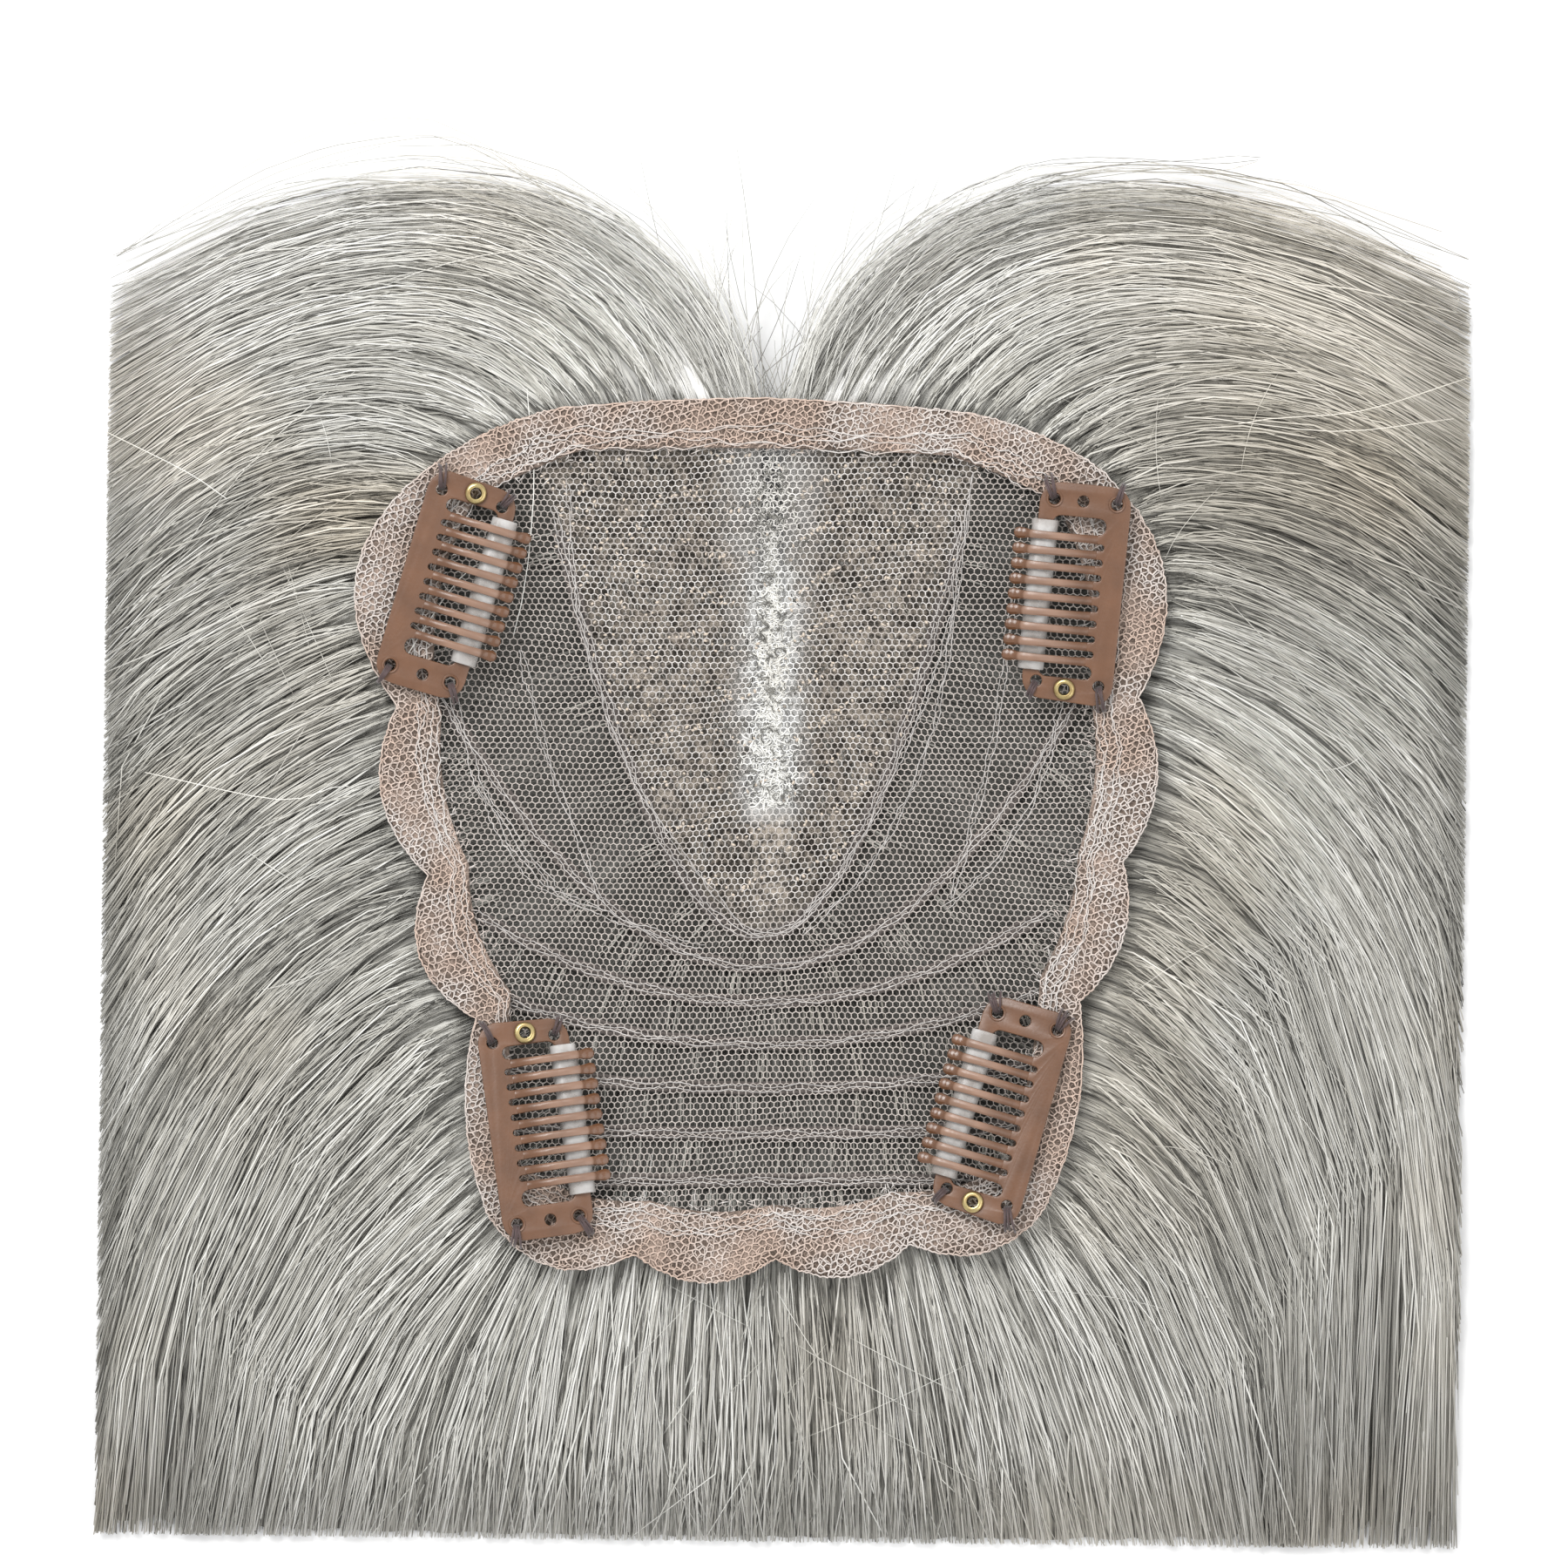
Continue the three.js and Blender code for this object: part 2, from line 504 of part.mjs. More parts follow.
// The silicone sleeve on the bar, flattened, with its rounded sides in a few faces.
function clipSleeve() {
  const outline = (wide, thick, from) => {
    const shape = new from();
    const round = thick / 2;
    shape.absarc(wide / 2 - round, 0, round, -Math.PI / 2, Math.PI / 2, false);
    shape.absarc(round - wide / 2, 0, round, Math.PI / 2, (3 * Math.PI) / 2, false);
    return shape;
  };
  const shape = outline(sleeveWide, sleeveThick, THREE.Shape);
  shape.holes.push(outline(sleeveWide - 2 * SLEEVE_WALL, sleeveThick - 2 * SLEEVE_WALL, THREE.Path));
  const depth = windowTop - windowFoot - 2 * SLEEVE_END_GAP;
  return new THREE.ExtrudeGeometry(shape, { depth, curveSegments: 3, bevelEnabled: false })
    .rotateX(Math.PI / 2)
    .translate(barMiddle, windowTop - SLEEVE_END_GAP, PLATE_WALL / 2);
}

function clipEyelet() {
  const barrel = EYELET_RADIUS - EYELET_FLANGE;
  const foot = -FIT_GAP - EYELET_WALL;
  const head = PLATE_WALL + FIT_GAP + EYELET_WALL;
  const profile = [
    [EYELET_BORE, foot],
    [EYELET_RADIUS, foot],
    [EYELET_RADIUS, -FIT_GAP],
    [barrel, -FIT_GAP],
    [barrel, PLATE_WALL + FIT_GAP],
    [EYELET_RADIUS, PLATE_WALL + FIT_GAP],
    [EYELET_RADIUS, head],
    [EYELET_BORE, head],
    [EYELET_BORE, foot],
  ].map(([x, y]) => new THREE.Vector2(x, y));
  return new THREE.LatheGeometry(profile, EYELET_SIDES).rotateX(Math.PI / 2).translate(0, eyeletY, 0);
}

// Lays a piece of a comb on the lace, tilted as the dish is there.
function clipPlace({ x, y, turn }) {
  const [px, py] = [x * halfWidth, y * halfLength];
  const radius = Math.hypot(px, py);
  const slope = laceUnder(radius + 0.5) - laceUnder(radius - 0.5);
  const normal = new THREE.Vector3((-slope * px) / radius, (-slope * py) / radius, 1).normalize();
  const up = new THREE.Vector3(0, 0, 1);
  const tilt = new THREE.Quaternion().setFromUnitVectors(up, normal);
  const spin = new THREE.Quaternion().setFromAxisAngle(up, THREE.MathUtils.degToRad(turn));
  const seat = new THREE.Vector3(px, py, laceUnder(radius) + edgeTop + clipRise);
  return new THREE.Matrix4().compose(seat, tilt.multiply(spin), new THREE.Vector3(1, 1, 1));
}

function main() {
  const topper = new THREE.Group();
  topper.add(named("lace_base", laceBase(), LACE));
  topper.add(named("lace_edge", laceEdge(), EDGE));
  WEFTS.forEach((row, i) => topper.add(named(`weft_${i + 1}`, weft(row), WEFT)));
  const hairClear = 2 * SEWN_GAP + WEFT_WALL;
  const hollow = dishLayer(-hairClear, LACE_HEIGHT + DISH_DEPTH).intersect(prism(scalloped(-SEWN_GAP)));
  for (const row of BUNDLES) topper.add(named(row.name, bundle(row, hollow), HAIR));
  for (const clip of CLIPS) {
    const place = clipPlace(clip);
    topper.add(named(`clip_${clip.name}`, clipFrame().applyMatrix4(place), LACQUER));
    topper.add(named(`sleeve_${clip.name}`, clipSleeve().applyMatrix4(place), SILICONE));
    topper.add(named(`eyelet_${clip.name}`, clipEyelet().applyMatrix4(place), BRASS));
  }
  return topper;
}

const topper = main();
const part = new THREE.Group();
part.add(topper);
const footprint = new THREE.Box3().setFromObject(topper).getCenter(new THREE.Vector3());
topper.position.set(-footprint.x, -footprint.y, 0);

export default part;
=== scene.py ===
"""A clip-in hair topper lying inside up on a pale table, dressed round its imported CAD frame."""
import math

import bmesh
import bpy
import numpy as np
from mathutils import Matrix, Vector


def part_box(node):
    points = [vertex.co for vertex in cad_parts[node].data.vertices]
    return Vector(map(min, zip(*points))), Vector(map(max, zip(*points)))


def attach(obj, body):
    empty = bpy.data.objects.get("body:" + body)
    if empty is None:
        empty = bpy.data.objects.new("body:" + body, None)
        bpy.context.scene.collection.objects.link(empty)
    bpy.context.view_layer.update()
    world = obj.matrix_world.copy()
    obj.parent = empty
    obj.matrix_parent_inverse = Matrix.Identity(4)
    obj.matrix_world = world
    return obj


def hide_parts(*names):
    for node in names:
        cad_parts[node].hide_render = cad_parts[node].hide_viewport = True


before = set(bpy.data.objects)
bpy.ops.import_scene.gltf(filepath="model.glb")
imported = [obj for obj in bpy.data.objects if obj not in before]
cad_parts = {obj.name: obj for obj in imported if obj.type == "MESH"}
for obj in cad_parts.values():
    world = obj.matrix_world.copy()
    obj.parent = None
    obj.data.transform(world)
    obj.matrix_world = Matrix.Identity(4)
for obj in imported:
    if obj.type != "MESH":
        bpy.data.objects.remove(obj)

bl_info = {
    "name": "Hair Topper",
    "version": (1, 0, 0),
    "blender": (4, 5, 0),
    "location": "View3D > Sidebar > Hair Topper",
    "description": "Lace base, snap combs and parted silver hair of a hair topper lying inside up",
    "category": "Object",
}

MM = 0.001

# The base, in millimetres from its middle, as its frame has it
BASE_WIDTH = 118
BASE_LENGTH = 129
HALF = np.array([BASE_WIDTH / 2, BASE_LENGTH / 2])
LACE_WALL = 1
LACE_HEIGHT = 6
DISH_DEPTH = 10
DISH_RADIUS = 66
EDGE_WIDTH = 7.5
EDGE_SHIFT = 1
EDGE_BOTTOM = 1.4
EDGE_TOP = 2.2
PARTING_OFFSET = 1.6
PARTING_FRONT = 61
PARTING_LENGTH = 56
PARTING_WIDTH = 6.5
PARTING_FRONT_WIDTH = 2.6
LEFT_REACH = 99
RIGHT_REACH = 102.5
FRONT_REACH = 98
BACK_REACH = 103
TIP_HEIGHT = 2.4
HAIR_PUFF = 0.8
HAIR_FALL = 1.25
FRONT_THIN = 0.5
FRONT_ROWS = 0.6
HAIR_CLEAR = 1.5
STEM_CURVE = 0.4

# The scalloped outline, clockwise from the front left corner: shares of half the base, and the arc's bulge
SCALLOPS = (
    dict(x=-0.805, y=0.86, bulge=0.247),
    dict(x=-0.503, y=0.983, bulge=0.05),
    dict(x=0.535, y=0.969, bulge=0.03),
    dict(x=0.838, y=0.85, bulge=0.05),
    dict(x=0.942, y=0.326, bulge=0.2),
    dict(x=0.903, y=-0.049, bulge=0.157),
    dict(x=0.795, y=-0.366, bulge=0.155),
    dict(x=0.697, y=-0.85, bulge=0.08),
    dict(x=0.373, y=-0.916, bulge=0.18),
    dict(x=0.038, y=-0.949, bulge=0.19),
    dict(x=-0.312, y=-0.939, bulge=0.185),
    dict(x=-0.676, y=-0.85, bulge=0.22),
    dict(x=-0.708, y=-0.405, bulge=0.08),
    dict(x=-0.827, y=-0.079, bulge=0.22),
    dict(x=-0.903, y=0.307, bulge=0.18),
)

# Weft rows, as shares of half the base: middle, half width and rise of the ends
WEFTS = (
    dict(middle=-0.218, side=0.5, rise=0.92),
    dict(middle=-0.29, side=0.78, rise=0.6),
    dict(middle=-0.37, side=0.7, rise=0.2),
    dict(middle=-0.465, side=0.68, rise=0.12),
    dict(middle=-0.564, side=0.66, rise=0.05),
    dict(middle=-0.666, side=0.66, rise=0.02),
    dict(middle=-0.771, side=0.64, rise=0),
)

# The way the hair flows, from the parting's front end round to the middle of the back, on each side
FLOW_COLUMNS = ("stem", "root_x", "root_y", "lift_x", "lift_y", "sweep_x", "sweep_y", "tip_x", "tip_y")
FLOW_LEFT = np.array(
    (
        (0, 0.042, 0.99, 0.095, 0.922, 0.442, 1.162, 0.978, 0.848),
        (0.1, 0.4, 0.97, 0.304, 0.799, 0.582, 0.955, 0.98, 0.644),
        (0.2, 0.76, 0.87, 0.545, 0.63, 0.752, 0.67, 0.983, 0.41),
        (0.34, 0.96, 0.6, 0.664, 0.39, 0.838, 0.33, 0.985, 0.176),
        (0.46, 0.92, 0.237, 0.635, 0.117, 0.835, 0.045, 0.99, -0.229),
        (0.58, 0.86, -0.089, 0.62, -0.07, 0.86, -0.19, 0.995, -0.576),
        (0.64, 0.84, -0.2, 0.65, -0.155, 0.965, -0.45, 1, -0.987),
        (0.69, 0.81, -0.32, 0.62, -0.205, 0.92, -0.452, 0.905, -0.988),
        (0.75, 0.76, -0.435, 0.58, -0.31, 0.845, -0.58, 0.854, -0.99),
        (0.82, 0.72, -0.652, 0.56, -0.47, 0.78, -0.69, 0.786, -0.992),
        (0.88, 0.63, -0.82, 0.5, -0.62, 0.64, -0.77, 0.657, -0.994),
        (0.93, 0.48, -0.88, 0.329, -0.68, 0.373, -0.833, 0.387, -0.996),
        (0.97, 0.25, -0.9, 0.167, -0.7, 0.182, -0.85, 0.18, -0.998),
        (1, 0, -0.91, 0, -0.71, 0, -0.858, 0, -1),
    )
)
FLOW_RIGHT = np.array(
    (
        (0, 0.042, 0.99, 0.095, 0.922, 0.442, 1.162, 1, 0.848),
        (0.1, 0.4, 0.97, 0.304, 0.799, 0.582, 0.955, 1, 0.644),
        (0.2, 0.76, 0.87, 0.5, 0.64, 0.75, 0.72, 0.998, 0.5),
        (0.32, 0.96, 0.6, 0.62, 0.42, 0.85, 0.34, 0.995, 0.13),
        (0.38, 0.955, 0.44, 0.65, 0.27, 0.93, 0.14, 0.99, -0.12),
        (0.42, 0.94, 0.35, 0.66, 0.2, 1, 0, 0.985, -0.62),
        (0.47, 0.93, 0.26, 0.68, 0.13, 1.04, -0.1, 0.98, -1.01),
        (0.53, 0.91, 0.16, 0.7, 0.05, 1.02, -0.18, 0.896, -1.008),
        (0.62, 0.86, -0.089, 0.64, -0.06, 0.93, -0.25, 0.81, -1.006),
        (0.74, 0.79, -0.36, 0.591, -0.26, 0.815, -0.465, 0.753, -1.005),
        (0.82, 0.72, -0.652, 0.541, -0.44, 0.69, -0.65, 0.709, -1.004),
        (0.89, 0.6, -0.83, 0.429, -0.613, 0.523, -0.786, 0.554, -1.003),
        (0.96, 0.3, -0.9, 0.205, -0.7, 0.23, -0.848, 0.236, -1.001),
        (1, 0, -0.91, 0, -0.71, 0, -0.858, 0, -1),
    )
)
LAST_ROW = len(FLOW_LEFT) - 1

# Hair bundles: the rows of the flow that each lies between, its side, and its strands
BUNDLES = (
    dict(name="front_hair_left", start=0, end=2, side=-1, strands=1060, steps=9),
    dict(name="front_hair_right", start=0, end=2, side=1, strands=1060, steps=9),
    dict(name="side_hair_left", start=2, end=7, side=-1, strands=1540, steps=8),
    dict(name="side_hair_right", start=2, end=7, side=1, strands=1540, steps=8),
    dict(name="back_hair", start=7, end=13, side=0, strands=2300, steps=5),
)

# Corners of the area that the hair is trimmed to, in millimetres: left, back and right cuts are straight
TRIM = np.array([(-96.4, 105.5), (-98.9, -103.1), (103.4, -105.4), (105.9, 105.5)])

# Seams that are no weft's: each a few points from the base's middle, in millimetres
SEAMS = (
    ((-45, 21), (-40, 5), (-33, -6), (-23, -10.5)),
    ((-35, 28), (-31, 12), (-26.5, 0), (-23, -10)),
    ((-28, 52), (-26.5, 33), (-20, 12), (-9, -5), (1, -14), (11, -6), (21, 13), (28, 33), (31, 54)),
    ((-41, 8), (-30, -7), (-21, -11.5), (-8, -16)),
    ((45, 24), (41, 8), (34, -4), (27, -10)),
    ((37, 36), (34.5, 16), (31, 2), (28, -9)),
    ((29, 48), (28, 30), (24, 12), (16, -4), (6, -14)),
)

# Tone of the strands at some rows of the flow: palest at the open front
TONE_ROWS = (0, 0.4, 0.9, 2, 5, 9, 13)
TONES = (1.0, 0.92, 0.68, 0.54, 0.51, 0.63, 0.74)

# Snap combs: the middle of each plate in shares of half the base, and its turn in degrees
COMBS = (
    dict(name="front_left", x=-0.768, y=0.577, turn=-16.5),
    dict(name="front_right", x=0.775, y=0.558, turn=174.2),
    dict(name="back_left", x=-0.549, y=-0.648, turn=7.8),
    dict(name="back_right", x=0.592, y=-0.608, turn=163.9),
)

# Snap comb sizes, in millimetres
PLATE_LENGTH = 32
PLATE_WIDTH = 14
PLATE_WALL = 0.8
PLATE_BEVEL = 0.15
PLATE_CORNER = 3
END_SLANT = 0.4
SPINE_WIDTH = 3.3
HEAD_WIDTH = 3.3
FOOT_WIDTH = 4.8
BAR_WIDTH = 2.2
BAR_INSET = 0.7
WINDOW_ROUND = 1.2
TOOTH_COUNT = 9
TOOTH_PITCH = 2.23
TOOTH_WIDTH = 1.3
TOOTH_WALL = 0.7
TOOTH_OVERSHOOT = 2.6
TOOTH_DROP = 1.2
SLOT_DEPTH = 1.1
FIRST_WINDOW = 2.6
SLEEVE_END_GAP = 0.8
SLEEVE_WALL = 0.5
FIT_GAP = 0.3
HOLE_RADIUS = 0.85
HOLE_INSET = 2.5
HOLE_SIDE_INSET = 2.1
EYELET_RADIUS = 1.55
EYELET_BORE = 0.75
EYELET_FLANGE = 0.45
COMB_RISE = 1.2

PLATE_SIDE = PLATE_WIDTH / 2
PLATE_END = PLATE_LENGTH / 2
BAR_OUTER = PLATE_SIDE - BAR_INSET
BAR_INNER = BAR_OUTER - BAR_WIDTH
BAR_MIDDLE = BAR_OUTER - BAR_WIDTH / 2
SPINE_INNER = SPINE_WIDTH - PLATE_SIDE
WINDOW_TOP = PLATE_END - END_SLANT - HEAD_WIDTH
WINDOW_FOOT = FOOT_WIDTH - PLATE_END
SLEEVE_TOP = PLATE_WALL + FIT_GAP + SLEEVE_WALL
HEAD_HOLE_Y = PLATE_END - END_SLANT - HOLE_INSET
FOOT_HOLE_Y = HOLE_INSET - PLATE_END
EYELET_Y = PLATE_END - END_SLANT - HEAD_WIDTH / 2

# Flyaway hairs over the wings, in millimetres from the base's middle, and how many follow each line
FLYAWAYS = (
    (((-6, 68), (-22, 88), (-42, 102), (-55, 104), (-72, 100), (-95, 87)), 4),
    (((-4, 64), (-16, 82), (-34, 94), (-52, 98), (-70, 96), (-94, 84)), 6),
    (((-8, 70), (-18, 84), (-30, 92), (-44, 98)), 3),
    (((8, 69), (20, 88), (40, 99), (64, 100), (74, 101)), 3),
    (((6, 64), (18, 82), (36, 94), (54, 98), (76, 95), (98, 86)), 6),
    (((10, 70), (22, 84), (34, 92), (46, 99)), 3),
)

# Long pale hairs that cross the rest, in millimetres from the base's middle
LONG_HAIRS = (
    ((104, 68), (88, 63), (70, 61), (52, 54)),
    ((102, 62), (84, 60), (62, 62), (48, 60)),
    ((-96, 60), (-84, 54), (-78, 50), (-72, 46)),
    ((-34, 66), (-33, 50), (-36, 30), (-44, 16)),
    ((-54, 23), (-44, 38), (-36, 44), (-28, 60)),
    ((-90, 10), (-70, 6), (-60, 8), (-48, 4)),
)

# Cells of the edge's net, in millimetres
EDGE_CELL = 1.05

# The width of a lock and the number of locks on each side, the seams' stitch step and how far forward the
# wisps may reach, in millimetres
LOCK = 3.6
LOCKS_A_SIDE = 52
SEAM_STEP = 0.65
WISP_LIMIT = 108

# Columns of the hair's body across one lock, the tint of its warmer patches, and the painted light of the
# parting and of the open front, where the pale ground is taken to show through the thin hair
BODY_COLUMNS = 4
WARM_TINT = (1.0, 0.92, 0.82)
PARTING_PAINTED_LIGHT = (0.95, 0.92, 0.88)
FRONT_PAINTED_LIGHT = (0.88, 0.87, 0.83)

# Camera, over the photo's middle
VIEW_MIDDLE = (3.5, 8.3)
VIEW_WIDTH = 229.6
LENS = 135


class TopperSettings(bpy.types.PropertyGroup):
    """Sizes and colours of the topper that a user would change."""

    cell: bpy.props.FloatProperty(
        name="Net Cell", description="Height of one hexagon, in millimetres", default=0.99, min=0.8
    )
    thread: bpy.props.FloatProperty(
        name="Net Thread", description="Thickness of the net's thread, in millimetres", default=0.2, min=0.1
    )
    strand: bpy.props.FloatProperty(
        name="Strand", description="Thickness of a drawn strand, in millimetres", default=0.27, min=0.05
    )
    knot_color: bpy.props.FloatVectorProperty(
        name="Knots", description="Knots and roots of the front", subtype="COLOR", default=(0.62, 0.54, 0.45)
    )
    # The darkest hair tone, which also paints the shade in the hair's gaps
    hair_dark: bpy.props.FloatVectorProperty(
        name="Hair Dark", description="Hair in its gaps", subtype="COLOR", default=(0.105, 0.102, 0.092)
    )
    hair_mid: bpy.props.FloatVectorProperty(
        name="Hair", description="Most of the hair", subtype="COLOR", default=(0.53, 0.515, 0.463)
    )
    hair_light: bpy.props.FloatVectorProperty(
        name="Hair Light", description="The palest strands", subtype="COLOR", default=(0.93, 0.92, 0.87)
    )
    net_color: bpy.props.FloatVectorProperty(
        name="Net", description="Thread of the net", subtype="COLOR", default=(0.54, 0.485, 0.445)
    )
    edge_color: bpy.props.FloatVectorProperty(
        name="Edge", description="Binding of the edge", subtype="COLOR", default=(0.6, 0.46, 0.38)
    )
    weft_color: bpy.props.FloatVectorProperty(
        name="Wefts", description="Cords of the weft rows", subtype="COLOR", default=(0.13, 0.11, 0.1)
    )
    stitch_color: bpy.props.FloatVectorProperty(
        name="Stitches", description="Seam stitches", subtype="COLOR", default=(0.72, 0.68, 0.65)
    )
    lacquer_color: bpy.props.FloatVectorProperty(
        name="Lacquer", description="Lacquer of the combs", subtype="COLOR", default=(0.142, 0.064, 0.031)
    )
    tooth_middle_color: bpy.props.FloatVectorProperty(
        name="Teeth", description="Paler middle of the teeth", subtype="COLOR", default=(0.27, 0.16, 0.11)
    )
    thread_color: bpy.props.FloatVectorProperty(
        name="Sewing Thread",
        description="Thread that holds the combs",
        subtype="COLOR",
        default=(0.075, 0.045, 0.045),
    )


# Shapes in millimetres, from the base's middle


def lace_under(radius):
    """Underside of the lace at a distance from its middle."""
    share = np.minimum(np.asarray(radius, float) / DISH_RADIUS, 1)
    return LACE_HEIGHT + DISH_DEPTH * share * share * (3 - 2 * share)


def lace_at(points):
    return lace_under(np.linalg.norm(points[..., :2], axis=-1))


def outline(inset=0.0, bulge_share=1.0, shift=0.0, steps=12):
    """The scalloped outline as a closed run of points, drawn in by inset and moved forward by shift."""
    corners = np.array([(s["x"], s["y"]) for s in SCALLOPS]) * (HALF - inset) + (0, shift)
    bulges = np.array([s["bulge"] for s in SCALLOPS]) * bulge_share
    starts = np.roll(corners, 1, axis=0)
    chords = corners - starts
    outs = np.stack([-chords[:, 1], chords[:, 0]], axis=1) * 2 * bulges[:, None]
    controls = (starts + corners) / 2 + outs
    t = (np.arange(steps) / steps)[None, :, None]
    run = (1 - t) ** 2 * starts[:, None] + 2 * t * (1 - t) * controls[:, None] + t**2 * corners[:, None]
    return run.reshape(-1, 2)


def inside(points, polygon):
    """Which points lie inside a closed polygon."""
    x, y = points[:, 0], points[:, 1]
    found = np.zeros(len(points), bool)
    for (x0, y0), (x1, y1) in zip(polygon, np.roll(polygon, -1, axis=0)):
        if y0 == y1:
            continue
        crosses = (y0 > y) != (y1 > y)
        found ^= crosses & (x < (x1 - x0) * (y - y0) / (y1 - y0) + x0)
    return found


def flow_at(places, sides):
    """The flow at any places between the rows of its side's table, on smooth curves through them."""
    tables = np.stack([FLOW_LEFT, FLOW_RIGHT])
    side = (sides > 0).astype(int)
    row = np.clip(np.floor(places).astype(int), 0, LAST_ROW - 1)
    t = (places - row)[:, None]
    a, b, c, d = (tables[side, np.clip(row + k, 0, LAST_ROW)] for k in (-1, 0, 1, 2))
    rows = b + 0.5 * t * (c - a + t * (2 * a - 5 * b + 4 * c - d + t * (3 * (b - c) + d - a)))
    return dict(zip(FLOW_COLUMNS, rows.T))


def controls_at(places, sides, parting=1.0):
    """Control points of the hair's way: stem at the parting, back, root, lift, sweep and tip."""
    flow = flow_at(places, sides)
    reach = np.where(sides < 0, LEFT_REACH, RIGHT_REACH)

    def steer(x, y):
        up = np.where(y > 0, FRONT_REACH, BACK_REACH)
        return np.stack([PARTING_OFFSET + sides * x * reach, y * up], axis=1)

    width = PARTING_FRONT_WIDTH + (PARTING_WIDTH - PARTING_FRONT_WIDTH) * flow["stem"]
    open_half = np.where(places < LAST_ROW - 0.01, width, 0) * parting / 2
    stem_y = PARTING_FRONT - flow["stem"] * PARTING_LENGTH
    stem = np.stack([PARTING_OFFSET + sides * open_half, stem_y], axis=1)
    root = np.stack([PARTING_OFFSET + sides * flow["root_x"] * HALF[0], flow["root_y"] * HALF[1]], axis=1)
    lift = steer(flow["lift_x"], flow["lift_y"])
    away = root - lift
    away *= (STEM_CURVE * np.linalg.norm(stem - root, axis=1) / np.linalg.norm(away, axis=1))[:, None]
    return np.stack(
        [
            stem,
            root + away,
            root,
            lift,
            steer(flow["sweep_x"], flow["sweep_y"]),
            steer(flow["tip_x"], flow["tip_y"]),
        ],
        axis=1,
    )


def along_controls(controls, t):
    """Points on the hair's way: t runs from -1 at the parting over 0 at the edge to 1 at the tips."""
    t = np.broadcast_to(t, (len(controls), np.shape(t)[-1]))
    stem, back, root, lift, sweep, tip = (controls[:, None, i] for i in range(6))
    u = np.clip(t + 1, 0, 1)[..., None]
    f = np.clip(t, 0, None)[..., None]
    under = (1 - u) ** 2 * stem + 2 * u * (1 - u) * back + u**2 * root
    free = (1 - f) ** 3 * root + 3 * f * (1 - f) ** 2 * lift + 3 * f**2 * (1 - f) * sweep + f**3 * tip
    return np.where(t[..., None] < 0, under, free)


def lock_table(side):
    """Locks counted along one side's roots: each about LOCK wide, some wider and some narrower."""
    roots = controls_at(LOCK_PLACES, np.full(len(LOCK_PLACES), float(side)))[:, 2]
    run = np.concatenate([[0], np.cumsum(np.linalg.norm(np.diff(roots, axis=0), axis=1))])
    count = run / LOCK + 0.2 * np.sin(run * 0.61 + side) + 0.25 * np.sin(run * 0.23 + 2 + side)
    return (count - count[0]) * LOCKS_A_SIDE / (count[-1] - count[0])


LOCK_PLACES = np.linspace(0, LAST_ROW, 800)
LOCK_COUNTS = {side: lock_table(side) for side in (-1, 1)}


def lock_of(places, sides):
    left, right = (np.interp(places, LOCK_PLACES, LOCK_COUNTS[side]) for side in (-1, 1))
    return np.where(sides < 0, left, right)


def place_of_lock(locks, sides):
    left, right = (np.interp(locks, LOCK_COUNTS[side], LOCK_PLACES) for side in (-1, 1))
    return np.where(sides < 0, left, right)


def counted(locks, sides):
    """Lock numbers that go on round the back from the left side to the right."""
    return np.where(sides < 0, locks, 2 * LOCKS_A_SIDE - locks)


def bands(lock, along, sine=np.sin):
    """Broad bands of light and shade that run with the hair, from -1 to 1."""
    slow = sine(lock * 0.83 + sine(along * 2.6 + lock * 0.31) * 1.7)
    quick = sine(lock * 2.3 + sine(along * 3.4 + lock * 0.57) * 1.3 + 1.1)
    return slow * 0.5 + quick * 0.32 + sine(lock * 0.37 + along * 1.9 + 2.0) * 0.18


def front_thin(places):
    """Share of the hair's height that is left towards its open front."""
    return 1 - (1 - FRONT_THIN) * np.clip(1 - places / FRONT_ROWS, 0, 1)


def hair_top(points, roots, t, thin=1.0):
    """Top of the hair, before its grooves: under the lace, or falling from the edge to the tips."""
    under = lace_at(points) - HAIR_CLEAR
    rim = ((lace_at(roots) + HAIR_PUFF) * thin)[:, None]
    free = TIP_HEIGHT + (rim - TIP_HEIGHT) * np.power(np.clip(1 - t, 0, 1), HAIR_FALL)
    blend = np.clip(t / 0.06, 0, 1)
    return under * (1 - blend) + free * blend


# Meshes from arrays


def frame_shift():
    """From the base's own middle to the frame's origin, in millimetres."""
    low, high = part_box("lace_edge")
    own = outline()
    middle = (own.min(0) + own.max(0)) / 2
    return np.array([(low.x + high.x) / 2 / MM - middle[0], (low.y + high.y) / 2 / MM - middle[1], 0])


SHIFT = frame_shift()


def add_mesh(name, points, faces, uv=None):
    """A smooth mesh object from points in millimetres and a list of face arrays."""
    mesh = bpy.data.meshes.new(name)
    placed = (points.reshape(-1, 3) + SHIFT) * MM
    mesh.vertices.add(len(placed))
    mesh.vertices.foreach_set("co", placed.astype(np.float32).ravel())
    corners = np.concatenate([f.ravel() for f in faces])
    sizes = np.concatenate([np.full(len(f), f.shape[1]) for f in faces])
    mesh.loops.add(len(corners))
    mesh.loops.foreach_set("vertex_index", corners.astype(np.int32))
    mesh.polygons.add(len(sizes))
    mesh.polygons.foreach_set("loop_start", (np.cumsum(sizes) - sizes).astype(np.int32))
    mesh.polygons.foreach_set("use_smooth", np.ones(len(sizes), bool))
    if uv is not None:
        layer = mesh.uv_layers.new(name="Flow")
        layer.data.foreach_set("uv", uv.reshape(-1, 2)[corners].astype(np.float32).ravel())
    mesh.update(calc_edges=True)
    obj = bpy.data.objects.new(name, mesh)
    bpy.context.collection.objects.link(obj)
    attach(obj, "root")
    return obj


